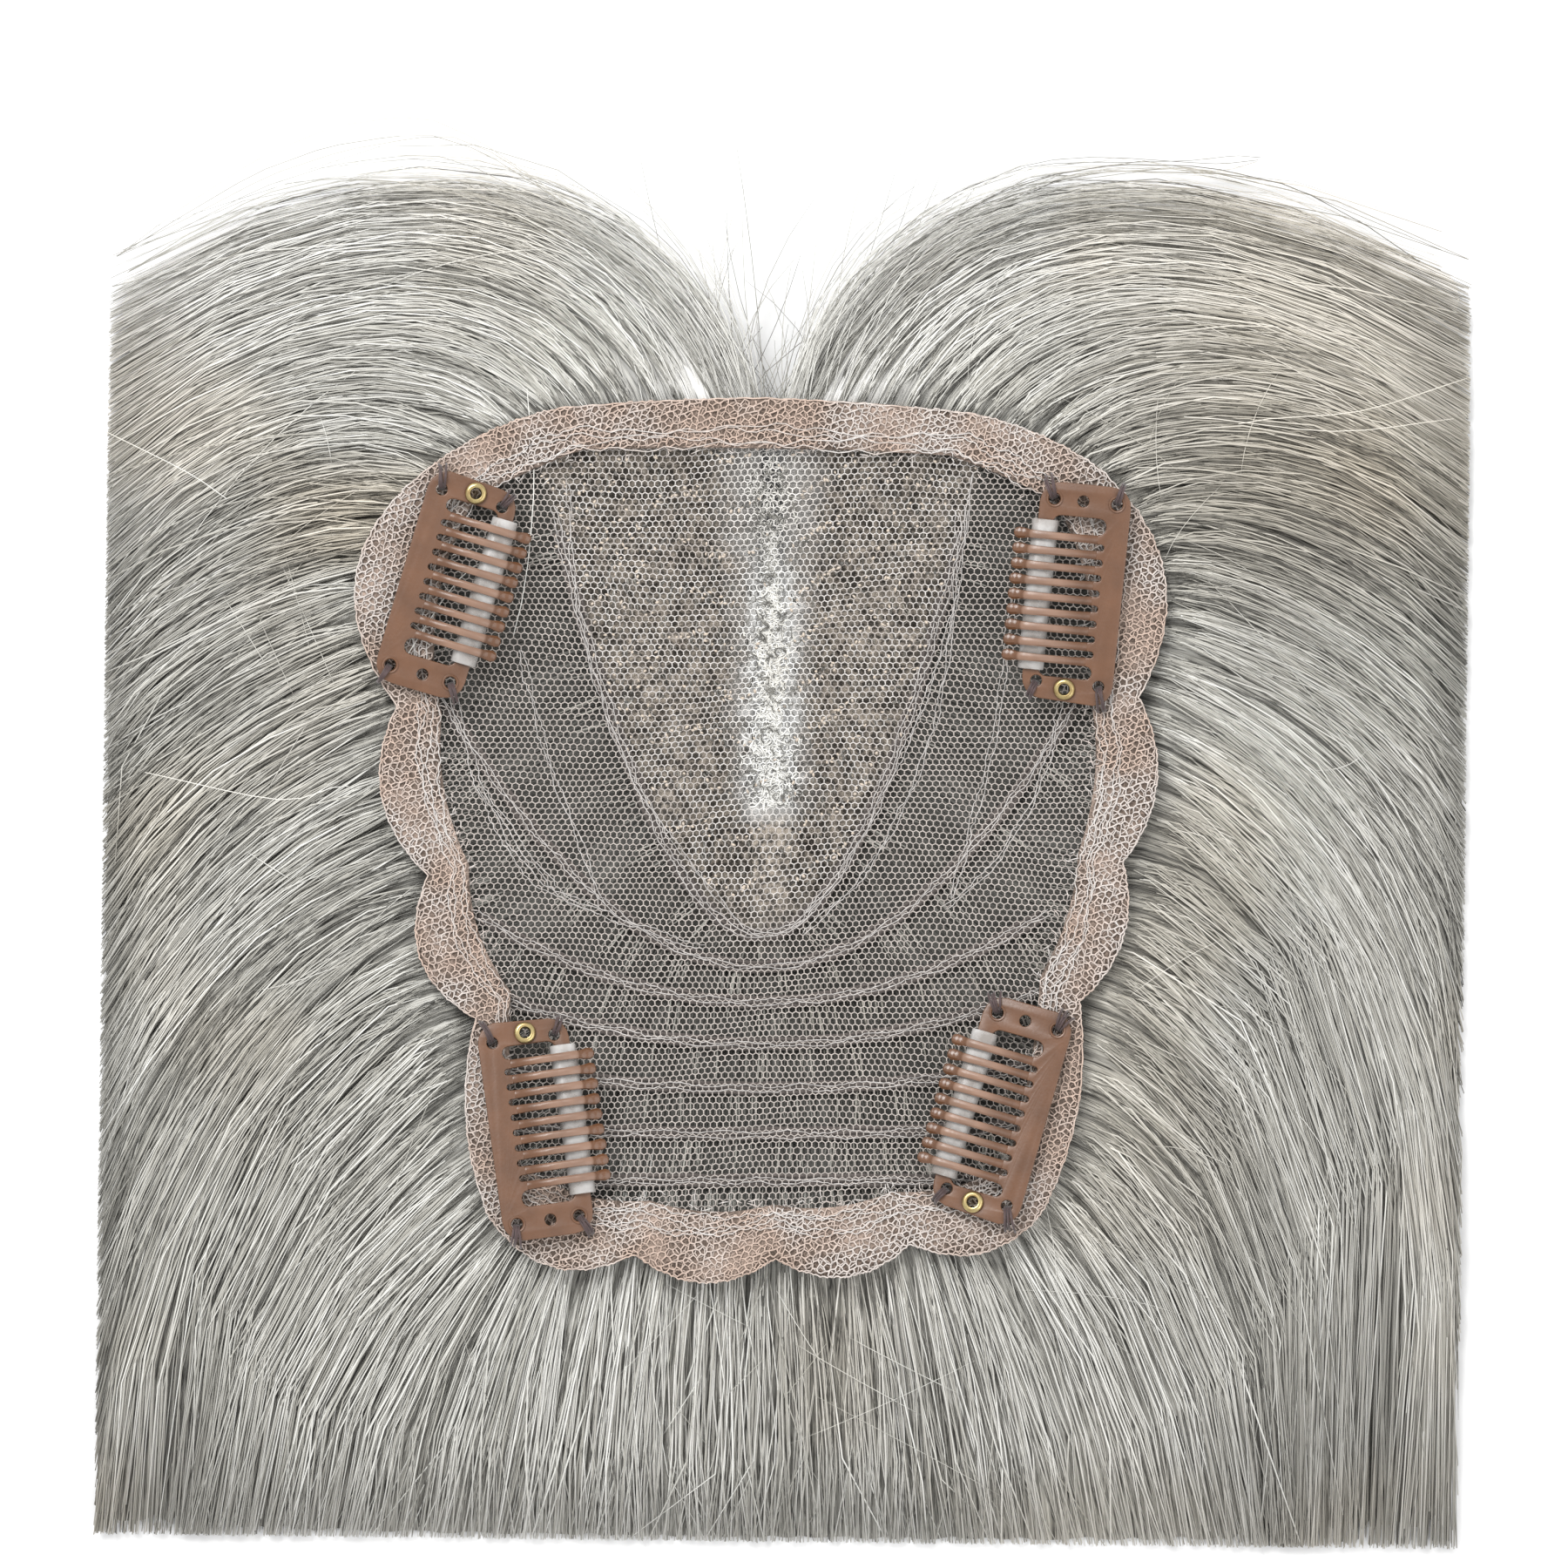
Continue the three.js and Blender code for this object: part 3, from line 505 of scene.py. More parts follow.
def tube_arrays(paths, wide, thick=None, sides=3, flat=None, uv_v=None):
    """Closed tubes along paths of shape (tubes, steps, 3): their points, faces and UV, as one array each."""
    count, steps = paths.shape[:2]
    thick = wide if thick is None else thick
    wide = np.broadcast_to(wide, (count, steps))[..., None, None]
    thick = np.broadcast_to(thick, (count, steps))[..., None, None]
    tangent = np.gradient(paths, axis=1)
    tangent /= np.maximum(np.linalg.norm(tangent, axis=-1, keepdims=True), 1e-9)
    up = np.array([0.0, 0.0, 1.0]) if flat is None else flat
    side = np.cross(np.broadcast_to(up, tangent.shape), tangent)
    side /= np.maximum(np.linalg.norm(side, axis=-1, keepdims=True), 1e-9)
    normal = np.cross(tangent, side)
    turn = (np.arange(sides) + 0.25) * 2 * math.pi / sides
    cosine, sine = np.cos(turn)[None, None, :, None], np.sin(turn)[None, None, :, None]
    points = paths[:, :, None] + (side[:, :, None] * cosine * wide + normal[:, :, None] * sine * thick) / 2
    tube = np.arange(count)[:, None, None] * steps * sides
    ring = np.arange(steps - 1)[None, :, None] * sides
    corner = np.arange(sides)[None, None, :]
    after = (corner + 1) % sides
    first = tube + ring
    quads = np.stack([first + corner, first + corner + sides, first + after + sides, first + after], axis=-1)
    base = np.arange(count)[:, None] * steps * sides
    near = base + np.arange(sides)[None, :]
    far = base + (steps - 1) * sides + np.arange(sides)[None, ::-1]
    u = np.broadcast_to((np.arange(steps) / (steps - 1))[None, :, None], (count, steps, sides))
    v = np.zeros(count) if uv_v is None else uv_v
    v = np.broadcast_to(v.reshape(count, -1), (count, steps))
    uv = np.stack([u, np.broadcast_to(v[..., None], u.shape)], axis=-1)
    faces = [quads.reshape(-1, 4)[:, ::-1], near[:, ::-1], far[:, ::-1]]
    return points.reshape(-1, 3), faces, uv.reshape(-1, 2)


def raised(flat, z):
    """Points of a plane, each at its own height."""
    return np.concatenate([flat, z[..., None]], axis=-1)


def merge_arrays(parts):
    """Several sets of points, faces and UV as one."""
    points, uv, faces, offset = [], [], {}, 0
    for part_points, part_faces, part_uv in parts:
        points.append(part_points)
        uv.append(part_uv)
        for f in part_faces:
            faces.setdefault(f.shape[1], []).append(f + offset)
        offset += len(part_points)
    return np.concatenate(points), [np.concatenate(f) for f in faces.values()], np.concatenate(uv)


# Materials


class Value:
    """A shader socket that can stand in a sum, such as 2 * value + 1."""

    def __init__(self, shader, socket):
        self.shader = shader
        self.socket = socket

    def math(self, operation, *others):
        return self.shader.node("ShaderNodeMath", {"operation": operation}, *others)

    def __add__(self, other):
        return self.math("ADD", self, other)

    def __radd__(self, other):
        return self.math("ADD", other, self)

    def __sub__(self, other):
        return self.math("SUBTRACT", self, other)

    def __rsub__(self, other):
        return self.math("SUBTRACT", other, self)

    def __mul__(self, other):
        return self.math("MULTIPLY", self, other)

    def __rmul__(self, other):
        return self.math("MULTIPLY", other, self)

    def __truediv__(self, other):
        return self.math("DIVIDE", self, other)

    def __gt__(self, other):
        return self.math("GREATER_THAN", self, other)

    def __pow__(self, other):
        return self.math("POWER", self, other)

    def sine(self):
        return self.math("SINE", self)

    def size(self):
        return self.math("ABSOLUTE", self)


class Shader:
    """A material in the making, with one Principled BSDF."""

    def __init__(self, name, **constants):
        self.material = bpy.data.materials.new(name)
        self.material.use_nodes = True
        self.tree = self.material.node_tree
        self.surface = self.tree.nodes["Principled BSDF"]
        for socket, value in constants.items():
            self.surface.inputs[socket.replace("_", " ")].default_value = value

    def node(self, kind, settings=None, *values, out=0, **sockets):
        """Any node: its settings, its inputs in order or by name, and one of its outputs."""
        node = self.tree.nodes.new(kind)
        for key, value in (settings or {}).items():
            setattr(node, key, value)
        slots = [(i, v) for i, v in enumerate(values)]
        slots += [(k.replace("_", " "), v) for k, v in sockets.items()]
        for slot, value in slots:
            if isinstance(value, Value):
                self.tree.links.new(value.socket, node.inputs[slot])
            else:
                node.inputs[slot].default_value = value
        return Value(self, node.outputs[out])

    def position(self, scale=(1, 1, 1)):
        place = self.node("ShaderNodeTexCoord", out="Object")
        return self.node("ShaderNodeMapping", None, place, Scale=scale)

    def flow(self, scale=(1, 1, 1)):
        place = self.node("ShaderNodeUVMap", {"uv_map": "Flow"})
        return self.node("ShaderNodeMapping", None, place, Scale=scale)

    def noise(self, place, scale, detail=2.0, roughness=0.5):
        settings = dict(Vector=place, Scale=scale, Detail=detail, Roughness=roughness)
        return self.node("ShaderNodeTexNoise", None, out="Fac", **settings)

    def split(self, vector, axis):
        return self.node("ShaderNodeSeparateXYZ", None, vector, out=axis)

    def span(self, value, low, high, to_low=0.0, to_high=1.0):
        """value brought from one range to another, and held in it."""
        return self.node("ShaderNodeMapRange", None, value, low, high, to_low, to_high)

    def mix(self, factor, first, second, blend="MIX"):
        colours = [c if isinstance(c, Value) else (*c, 1.0) for c in (first, second)]
        node = self.tree.nodes.new("ShaderNodeMix")
        node.data_type = "RGBA"
        node.blend_type = blend
        for slot, value in zip((0, 6, 7), (factor, *colours)):
            if isinstance(value, Value):
                self.tree.links.new(value.socket, node.inputs[slot])
            else:
                node.inputs[slot].default_value = value
        return Value(self, node.outputs[2])

    def feed(self, socket, value):
        self.tree.links.new(value.socket, self.surface.inputs[socket])

    def bump(self, height, distance, strength=1.0):
        raise_by = self.node("ShaderNodeBump", None, Strength=strength, Distance=distance, Height=height)
        self.feed("Normal", raise_by)


def hair_material(name, colours):
    """Silver hair: v in its UV map is the strand's tone, u runs from root to tip."""
    dark, mid, light = colours
    s = Shader(name, Roughness=0.42, **{"Specular_IOR_Level": 0.45})
    tone = s.split(s.flow(), "Y")
    streak = s.noise(s.flow((3.5, 40, 1)), 6.0, 2.0)
    level = tone + (streak - 0.5) * 0.3
    low = s.mix(s.span(level, 0.0, 0.38), dark, mid)
    high = s.mix(s.span(level, 0.44, 0.98), low, light)
    s.feed("Base Color", warmed(s, high))
    s.feed("Roughness", s.span(streak, 0.3, 0.7, 0.36, 0.52))
    return s.material


def warmed(s, colour):
    """The hair is warmer in a few patches, most of them on the outer right of the front."""
    spots = s.noise(s.position(), 26.0, 1.0)
    x, y = base_place(s)
    right = s.span(x, 42.0, 72.0) * s.span(y, 30.0, 50.0)
    left = s.span(x, -76.0, -62.0) * s.span(x, -48.0, -42.0, 1.0, 0.0)
    left = left * s.span(y, 38.0, 43.0) * s.span(y, 50.0, 58.0, 1.0, 0.0)
    amount = s.span(spots, 0.55, 0.72, 0.0, 0.4) + right * 0.6 + left * 0.9
    return s.mix(amount, colour, WARM_TINT, "MULTIPLY")


def mass_material(name, colours, beige):
    """The body of the hair under its strands: fine streaks along the flow, broken by thin dark slits of
    painted shadow, with painted shade between the locks near their roots and under the net, and painted
    light at the open front and along the parting.
    """
    dark, mid, light = colours
    s = Shader(name, Roughness=0.5, **{"Specular_IOR_Level": 0.35, "Emission_Strength": 0.32})
    along = s.split(s.flow(), "X")
    lock = s.split(s.flow(), "Y")
    # Painted shadow colour: the darkest hair tone, made darker still
    shadow_dark = tuple(c * 0.4 for c in dark)
    fine = s.noise(s.flow((5.0, 13.0, 1)), 1.0, 3.0, 0.65)
    hairs = s.noise(s.flow((7.0, 42.0, 1)), 1.0, 2.0, 0.6)
    shade = bands(lock, along, Value.sine)
    level = fine * 0.5 + hairs * 0.5 + shade * 0.035
    low = s.mix(s.span(level, 0.4, 0.52), dark, mid)
    lit = s.mix(s.span(level, 0.52, 0.68), low, light)
    from_front = float(LOCKS_A_SIDE) - (lock - float(LOCKS_A_SIDE)).size()
    # Painted light: the body turns paler towards the open front and nearly white at its border, where the
    # pale ground is taken to show through and the thin slope would lie in shade
    lit = s.mix(s.span(from_front + (fine - 0.5) * 3.0, 0.5, 7.0, 0.9, 0.0), lit, FRONT_PAINTED_LIGHT)
    lit = s.mix(s.span(from_front + (hairs - 0.5) * 3.0, 0.0, 4.0, 0.95, 0.0), lit, (0.99, 0.98, 0.96))
    # Painted shadow: thin dark slits along the flow, standing in for the shadows between the hairs
    slits = s.noise(s.flow((3.4, 7.5, 1)), 1.0, 2.0, 0.55)
    slit_shadow = s.span((slits - 0.5).size(), 0.004, 0.03, 0.8, 0.0) * s.span(fine, 0.42, 0.6, 1.0, 0.2)
    lit = s.mix(slit_shadow, warmed(s, lit), shadow_dark)
    # Painted shade in the gaps between the locks, near their roots and away from the open front
    gap_shade = s.span(lock.math("PINGPONG", lock, 0.5) + (fine - 0.5) * 0.2, 0.02, 0.2, 0.75, 0.0)
    gap_shade = gap_shade * s.span(along, 0.02, 0.3, 1.0, 0.1) * s.span(from_front, 2.0, 9.0, 0.1, 1.0)
    outside = s.mix(gap_shade, lit, shadow_dark)
    # Painted shade: the hair under the net is a dark copy of the hair, from the shadow colour up to a third
    # of its middle tone
    under = s.mix(s.span(fine * 0.6 + hairs * 0.4, 0.42, 0.62), shadow_dark, tuple(c * 0.34 for c in mid))
    blotch = s.noise(s.position(), 420.0, 2.0) * 0.4 + s.noise(s.position(), 1100.0, 2.0) * 0.6
    shaded, lit_beige = (tuple(c * share for c in beige) for share in (0.13, 0.86))
    knotted = s.mix(s.span(blotch, 0.43, 0.6), shaded, lit_beige)
    inner = s.mix(front_zone(s), under, knotted)
    # Painted light along the parting: a pale strip and a white core over the hair under the net
    strip, white = parting_glow(s)
    inner = s.mix(white, s.mix(strip, inner, PARTING_PAINTED_LIGHT), (1.0, 1.0, 0.98))
    is_out = s.span(along, -0.04, 0.03)
    s.feed("Base Color", s.mix(is_out, inner, outside))
    # Painted glow: a faint emission lights the thin hair of the open front and the white core of the
    # parting, standing in for the pale ground seen through them
    thin = s.span(from_front + (hairs - 0.5) * 2.0, 0.5, 4.5, 1.0, 0.0)
    glow = thin * is_out + white * (1.0 - is_out)
    s.feed("Emission Color", s.mix(glow, (0.0, 0.0, 0.0), (1.0, 0.985, 0.95)))
    s.feed("Roughness", s.span(fine, 0.3, 0.7, 0.42, 0.6))
    s.bump(level - slit_shadow * 0.5, 0.0005, 0.8)
    return s.material


def base_place(s):
    """x and y in millimetres from the base's own middle."""
    return tuple(s.split(s.position(), axis) * 1000.0 - float(shift) for axis, shift in zip("XY", SHIFT))


def front_zone(s):
    """The hand-tied front, inside the first weft's curve."""
    x, y = base_place(s)
    first = WEFTS[0]
    rise = first["rise"] * HALF[1] / (first["side"] * HALF[0]) ** 2
    middle = float(first["middle"] * HALF[1])
    return s.span(y - x * x * float(rise), middle - 4, middle + 5)


def parting_glow(s):
    """Masks of the painted light along the parting, where the bright ground is taken to show through thin
    hair: a soft pale strip, and a white one along its back half.
    """
    x, y = base_place(s)
    away = (x - float(PARTING_OFFSET)).size() + (s.noise(s.position(), 420.0, 3.0) - 0.5) * 7.0
    front = s.span(y, 38.0, 47.0) * s.span(away, 2.0, 9.0, 0.85, 0.0)
    back = s.span(y, 2.0, 8.0) * s.span(y, 36.0, 46.0, 1.0, 0.0)
    return front + back * s.span(away, 2.5, 7.0, 0.9, 0.0), back * s.span(away, 2.0, 4.4, 1.0, 0.0)


def thread_material(name, colour, roughness=0.7, size=900.0):
    """Thread: slightly uneven, with a fine twist."""
    s = Shader(name, Roughness=roughness)
    s.surface.inputs["Sheen Weight"].default_value = 0.25
    uneven = s.noise(s.position(), size, 2.0)
    broad = s.noise(s.position(), 60.0, 2.0)
    level = s.span(uneven * 0.5 + broad * 0.5, 0.35, 0.65, 0.74, 1.18)
    tint = s.node("ShaderNodeCombineColor", None, level, level, level)
    s.feed("Base Color", s.mix(1.0, tuple(colour), tint, "MULTIPLY"))
    s.bump(uneven, 0.0001, 0.5)
    return s.material


def net_material(settings):
    """Thread of the net: a little paler over the hand-tied front, and painted pale and white along the
    parting, where the bright ground is taken to show through.
    """
    s = Shader("net_thread", Roughness=0.7)
    uneven = s.noise(s.position(), 900.0, 2.0)
    broad = s.noise(s.position(), 330.0, 2.0)
    front = front_zone(s) * s.span(broad, 0.36, 0.6)
    tint = s.mix(front, tuple(settings.net_color), tuple(settings.stitch_color))
    # Painted light: the threads turn pale and then white along the parting
    strip, white = parting_glow(s)
    tint = s.mix(white, s.mix(strip * 0.85, tint, PARTING_PAINTED_LIGHT), (1.0, 1.0, 0.98))
    level = s.span(uneven, 0.35, 0.65, 0.82, 1.1)
    shade = s.node("ShaderNodeCombineColor", None, level, level, level)
    s.feed("Base Color", s.mix(1.0, tint, shade, "MULTIPLY"))
    s.bump(uneven, 0.0001, 0.5)
    return s.material


def edge_thread_material(settings):
    """Thread of the edge's net: peach towards the rim, paler where it is gathered."""
    s = Shader("edge_thread", Roughness=0.75)
    patch = s.noise(s.position(), 95.0, 3.0)
    fine = s.noise(s.position(), 1100.0, 2.0)
    frayed = s.split(s.flow(), "Y") > 0.999
    pale = s.span(patch, 0.42, 0.6) * 0.7 + frayed * 0.6
    tint = s.mix(pale, tuple(settings.edge_color), tuple(settings.stitch_color))
    level = s.span(fine, 0.35, 0.65, 0.85, 1.12)
    shade = s.node("ShaderNodeCombineColor", None, level, level, level)
    s.feed("Base Color", s.mix(1.0, tint, shade, "MULTIPLY"))
    s.bump(fine, 0.0001, 0.5)
    return s.material


def colours_of(settings):
    return tuple(tuple(c) for c in (settings.hair_dark, settings.hair_mid, settings.hair_light))


# Pieces


def hexagon_threads(cell, polygon, hole=None, turn=0.0):
    """Both ends of each thread of a hexagonal net inside a polygon and outside a hole, seen from above."""
    edge = cell / math.sqrt(3)
    low, high = polygon.min(0) - 2 * cell, polygon.max(0) + 2 * cell
    reach = max(np.abs(low).max(), np.abs(high).max()) * 1.3
    columns = np.arange(-int(reach / (1.5 * edge)), int(reach / (1.5 * edge)) + 1)
    rows = np.arange(-int(reach / cell), int(reach / cell) + 1)
    i, j = (a.ravel() for a in np.meshgrid(columns, rows, indexing="ij"))
    middles = np.stack([i * 1.5 * edge, (j + (i % 2) / 2) * cell], axis=1)
    angles = np.radians([0, 60, 120, 180])
    corners = edge * np.stack([np.cos(angles), np.sin(angles)], axis=1)
    sides = [np.stack([middles + corners[k], middles + corners[k + 1]], axis=1) for k in range(3)]
    ends = np.concatenate(sides)
    spin = np.array([[math.cos(turn), math.sin(turn)], [-math.sin(turn), math.cos(turn)]])
    ends = warp(ends @ spin)
    halfway = ends.mean(axis=1)
    keep = inside(halfway, polygon)
    if hole is not None:
        keep &= ~inside(halfway, hole)
    return ends[keep]


def warp(points):
    """The net's slight unevenness: it is pulled a little to and fro."""
    x, y = points[..., 0], points[..., 1]
    dx = 0.5 * np.sin(y / 9 + 0.6 * np.sin(x / 13)) + 0.16 * np.sin(x / 2.3 + y / 3.1)
    dy = 0.5 * np.sin(x / 11 + 0.8 * np.sin(y / 8)) + 0.16 * np.sin(y / 2.7 - x / 3.7)
    return points + np.stack([dx, dy], axis=-1)


def zigzag_net(cell, polygon, thread, height, rng, hole=None, turn=0.0, stir=0.0):
    """A hexagonal net: threads that zigzag from side to side, and short ones that tie each to the next."""
    edge = cell / math.sqrt(3)
    reach = np.linalg.norm(polygon, axis=1).max() + 2 * cell
    columns = np.arange(-int(reach / (1.5 * edge)), int(reach / (1.5 * edge)) + 1)
    steps = np.arange(-int(reach * 2 / cell), int(reach * 2 / cell) + 1)
    i, j = np.meshgrid(columns, steps, indexing="ij")
    odd = (i + j) % 2
    spin = np.array([[math.cos(turn), math.sin(turn)], [-math.sin(turn), math.cos(turn)]])
    knots = warp(np.stack([j * cell / 2, i * 1.5 * edge + (odd - 0.5) * edge / 2], axis=-1) @ spin)
    knots = knots + stir * (1.3 * np.sin(knots[..., ::-1] * 5.1 + 1.3) + np.sin(knots[..., ::-1] * 2.3))
    within = inside(knots.reshape(-1, 2), polygon)
    if hole is not None:
        within &= ~inside(knots.reshape(-1, 2), hole)
    within = within.reshape(i.shape)
    size = thread * rng.uniform(0.9, 1.1, i.shape)
    z = lace_at(knots) + height + rng.normal(0, 0.04, i.shape)
    placed = np.concatenate([knots, z[..., None]], axis=-1)
    parts = []
    for row in range(len(columns)):
        runs = np.flatnonzero(np.diff(np.concatenate([[False], within[row], [False]]).astype(int)))
        for first, last in zip(runs[::2], runs[1::2]):
            if last - first > 1:
                path = placed[row, first:last][None]
                parts.append(tube_arrays(path, size[row, first:last][None], uv_v=rng.uniform(0, 1, 1)))
    rises = within[:-1] & within[1:] & (odd[:-1] == 1)
    ties = np.stack([placed[:-1][rises], placed[1:][rises]], axis=1)
    parts.append(tube_arrays(ties, thread * np.ones(ties.shape[:2]), uv_v=rng.uniform(0, 1, len(ties))))
    return merge_arrays(parts)


class TOPPER_OT_net(bpy.types.Operator):
    """Lace base: an open hexagonal net, in a front and a back part"""

    bl_idname = "topper.make_net"
    bl_label = "Make Net"

    def execute(self, context):
        settings = context.scene.topper
        rng = np.random.default_rng(11)
        whole = outline(EDGE_WIDTH - 2, 0.6, EDGE_SHIFT)
        material = net_material(settings)
        for name, half in (("net_front", 1), ("net_back", -1)):
            edge = whole.copy()
            edge[:, 1] = np.maximum(edge[:, 1] * half, -0.9 * settings.cell) * half
            points, faces, uv = zigzag_net(settings.cell, edge, settings.thread, LACE_WALL / 2, rng)
            obj = add_mesh(name, points, faces, uv)
            obj.data.materials.append(material)
            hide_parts("lace_base")
        return {"FINISHED"}


class TOPPER_OT_edge(bpy.types.Operator):
    """Scalloped edge: a folded band under a denser net, with a rolled rim"""

    bl_idname = "topper.make_edge"
    bl_label = "Make Edge"

    def execute(self, context):
        settings = context.scene.topper
        rng = np.random.default_rng(12)
        outer, inner = outline(0.2), outline(EDGE_WIDTH, 0.4, EDGE_SHIFT)
        layers = ((1.0, 1.3, -0.2, 0.3), (1.35, 1.1, -0.4, 0.9))
        parts = []
        for wide, thick, drop, turn in layers:
            cell, thread, height = EDGE_CELL * wide, settings.thread * thick, EDGE_TOP + drop
            parts.append(zigzag_net(cell, outer, thread, height, rng, inner, turn, 0.1))
        parts += [self.rim(rng), self.gathers(rng), self.frayed(inner, rng)]
        points, faces, uv = merge_arrays(parts)
        obj = add_mesh("edge_net", points, faces, uv)
        obj.data.materials.append(edge_thread_material(settings))
        self.band(settings)
        return {"FINISHED"}

    def rim(self, rng):
        """The rim: a thread that runs in small scallops along the outline, as the net's cut cells do."""
        closed = outline(0.25, steps=60)
        closed = np.concatenate([closed, closed[:2]])
        run = np.concatenate([[0], np.cumsum(np.linalg.norm(np.diff(closed, axis=0), axis=1))])
        drawn = 1 - (0.22 * np.abs(np.sin(run * math.pi / EDGE_CELL)) + 0.08 * np.sin(run * 1.7)) / 60
        path = raised(closed * drawn[:, None], lace_at(closed) + EDGE_TOP - 0.35)
        return tube_arrays(path[None], 0.26, sides=4)

    def gathers(self, rng):
        """Pale threads that wander along the band's inner part, where it is folded and sewn."""
        parts = []
        for inset in (EDGE_WIDTH - 0.4, EDGE_WIDTH - 1.3, EDGE_WIDTH - 2.4, EDGE_WIDTH - 3.0):
            line = outline(inset, 0.5, EDGE_SHIFT * 0.7, steps=40)
            line = np.concatenate([line, line[:2]])
            run = np.concatenate([[0], np.cumsum(np.linalg.norm(np.diff(line, axis=0), axis=1))])
            phase = rng.uniform(0, 6, 3)
            wander = 0.5 * np.sin(run * 0.21 + phase[0]) + 0.3 * np.sin(run * 0.9 + phase[1])
            wander += 0.16 * np.sin(run * 3.1 + phase[2])
            line = line * (1 - wander / 60)[:, None]
            path = np.concatenate([line, (lace_at(line) + EDGE_TOP - 0.1)[:, None]], axis=1)
            parts.append(tube_arrays(path[None], 0.17, sides=3, uv_v=np.ones(1)))
        return merge_arrays(parts)

    def frayed(self, inner, rng):
        """Loose pale threads along the band's inner side, where it is gathered and sewn down."""
        count = 650
        at = rng.uniform(0, len(inner), count)
        near = inner[at.astype(int) % len(inner)]
        following = inner[(at.astype(int) + 1) % len(inner)]
        base = near + (following - near) * (at % 1)[:, None]
        inward = -base / np.linalg.norm(base, axis=1, keepdims=True)
        middle = base + inward * rng.normal(-0.3, 0.8, count)[:, None]
        turn = rng.uniform(0, 2 * math.pi, count)
        reach = rng.uniform(0.3, 1.0, count)[:, None] * np.stack([np.cos(turn), np.sin(turn)], axis=1)
        bend = rng.normal(0, 0.18, (count, 2))
        flat = np.stack([middle - reach, middle + bend, middle + reach], axis=1)
        z = lace_at(flat) + EDGE_TOP - 0.9 + 0.8 * rng.uniform(0, 1, (count, 1)) * np.array([0.4, 1, 0.4])
        return tube_arrays(raised(flat, z), 0.16, uv_v=np.ones(count))

    def band(self, settings):
        """The folded band under the edge's net: a thin closed ring that follows the dish."""
        across = 5
        outer, inner = outline(0.3), outline(EDGE_WIDTH, 0.4, EDGE_SHIFT)
        share = np.linspace(0, 1, across)[:, None, None]
        rings = outer[None] * (1 - share) + inner[None] * share
        lower = np.concatenate([rings, (lace_at(rings) + EDGE_BOTTOM)[..., None]], axis=-1)
        upper = lower[::-1] + np.array([0, 0, 0.35])
        loop = np.concatenate([lower, upper])
        count, columns = loop.shape[:2]
        i, j = (a.ravel() for a in np.meshgrid(np.arange(count), np.arange(columns), indexing="ij"))
        at = lambda a, b: (a % count) * columns + b % columns
        quads = np.stack([at(i, j), at(i, j + 1), at(i + 1, j + 1), at(i + 1, j)], axis=1)
        obj = add_mesh("edge_band", loop, [quads], None)
        s = Shader("edge_cloth", Roughness=0.85)
        kind = {"feature": "DISTANCE_TO_EDGE"}
        cells = s.node("ShaderNodeTexVoronoi", kind, Vector=s.position(), Scale=1300.0, out="Distance")
        web = s.span(cells, 0.02, 0.2, 1.0, 0.0)
        patch = s.noise(s.position(), 150.0, 3.0)
        colour = tuple(settings.edge_color)
        shade = tuple(c * f for c, f in zip(colour, (0.2, 0.19, 0.18)))
        s.feed("Base Color", s.mix(web * 0.3 + s.span(patch, 0.45, 0.68) * 0.6, shade, colour))
        s.bump(web, 0.0002, 0.8)
        obj.data.materials.append(s.material)
        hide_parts("lace_edge")


class TOPPER_OT_wefts(bpy.types.Operator):
    """Weft rows: three twisted cords each, under the net"""

    bl_idname = "topper.make_wefts"
    bl_label = "Make Wefts"

    def execute(self, context):
        settings = context.scene.topper
        material = thread_material("weft_cord", settings.weft_color, 0.75, 500.0)
        for number, row in enumerate(WEFTS, 1):
            across = np.linspace(-1, 1, 64)
            x = across * row["side"] * HALF[0]
            y = (row["middle"] + row["rise"] * across**2) * HALF[1]
            slope = 2 * row["rise"] * across * HALF[1] / (row["side"] * HALF[0])
            aside = np.stack([-slope, np.ones_like(slope)], axis=1)
            aside /= np.linalg.norm(aside, axis=1, keepdims=True)
            parts = []
            for cord in (-0.65, 0, 0.65):
                wave = cord + 0.08 * np.sin(across * 160 + cord)[:, None]
                line = np.stack([x, y], axis=1) + aside * wave
                z = lace_at(line) - 0.75 + 0.06 * np.sin(across * 160 + 2 * cord)
                parts.append(tube_arrays(np.concatenate([line, z[:, None]], axis=1)[None], 0.68, sides=5))
            points, faces, uv = merge_arrays(parts)
            obj = add_mesh(f"weft_row_{number}", points, faces, uv)
            obj.data.materials.append(material)
            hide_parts(f"weft_{number}")
        return {"FINISHED"}


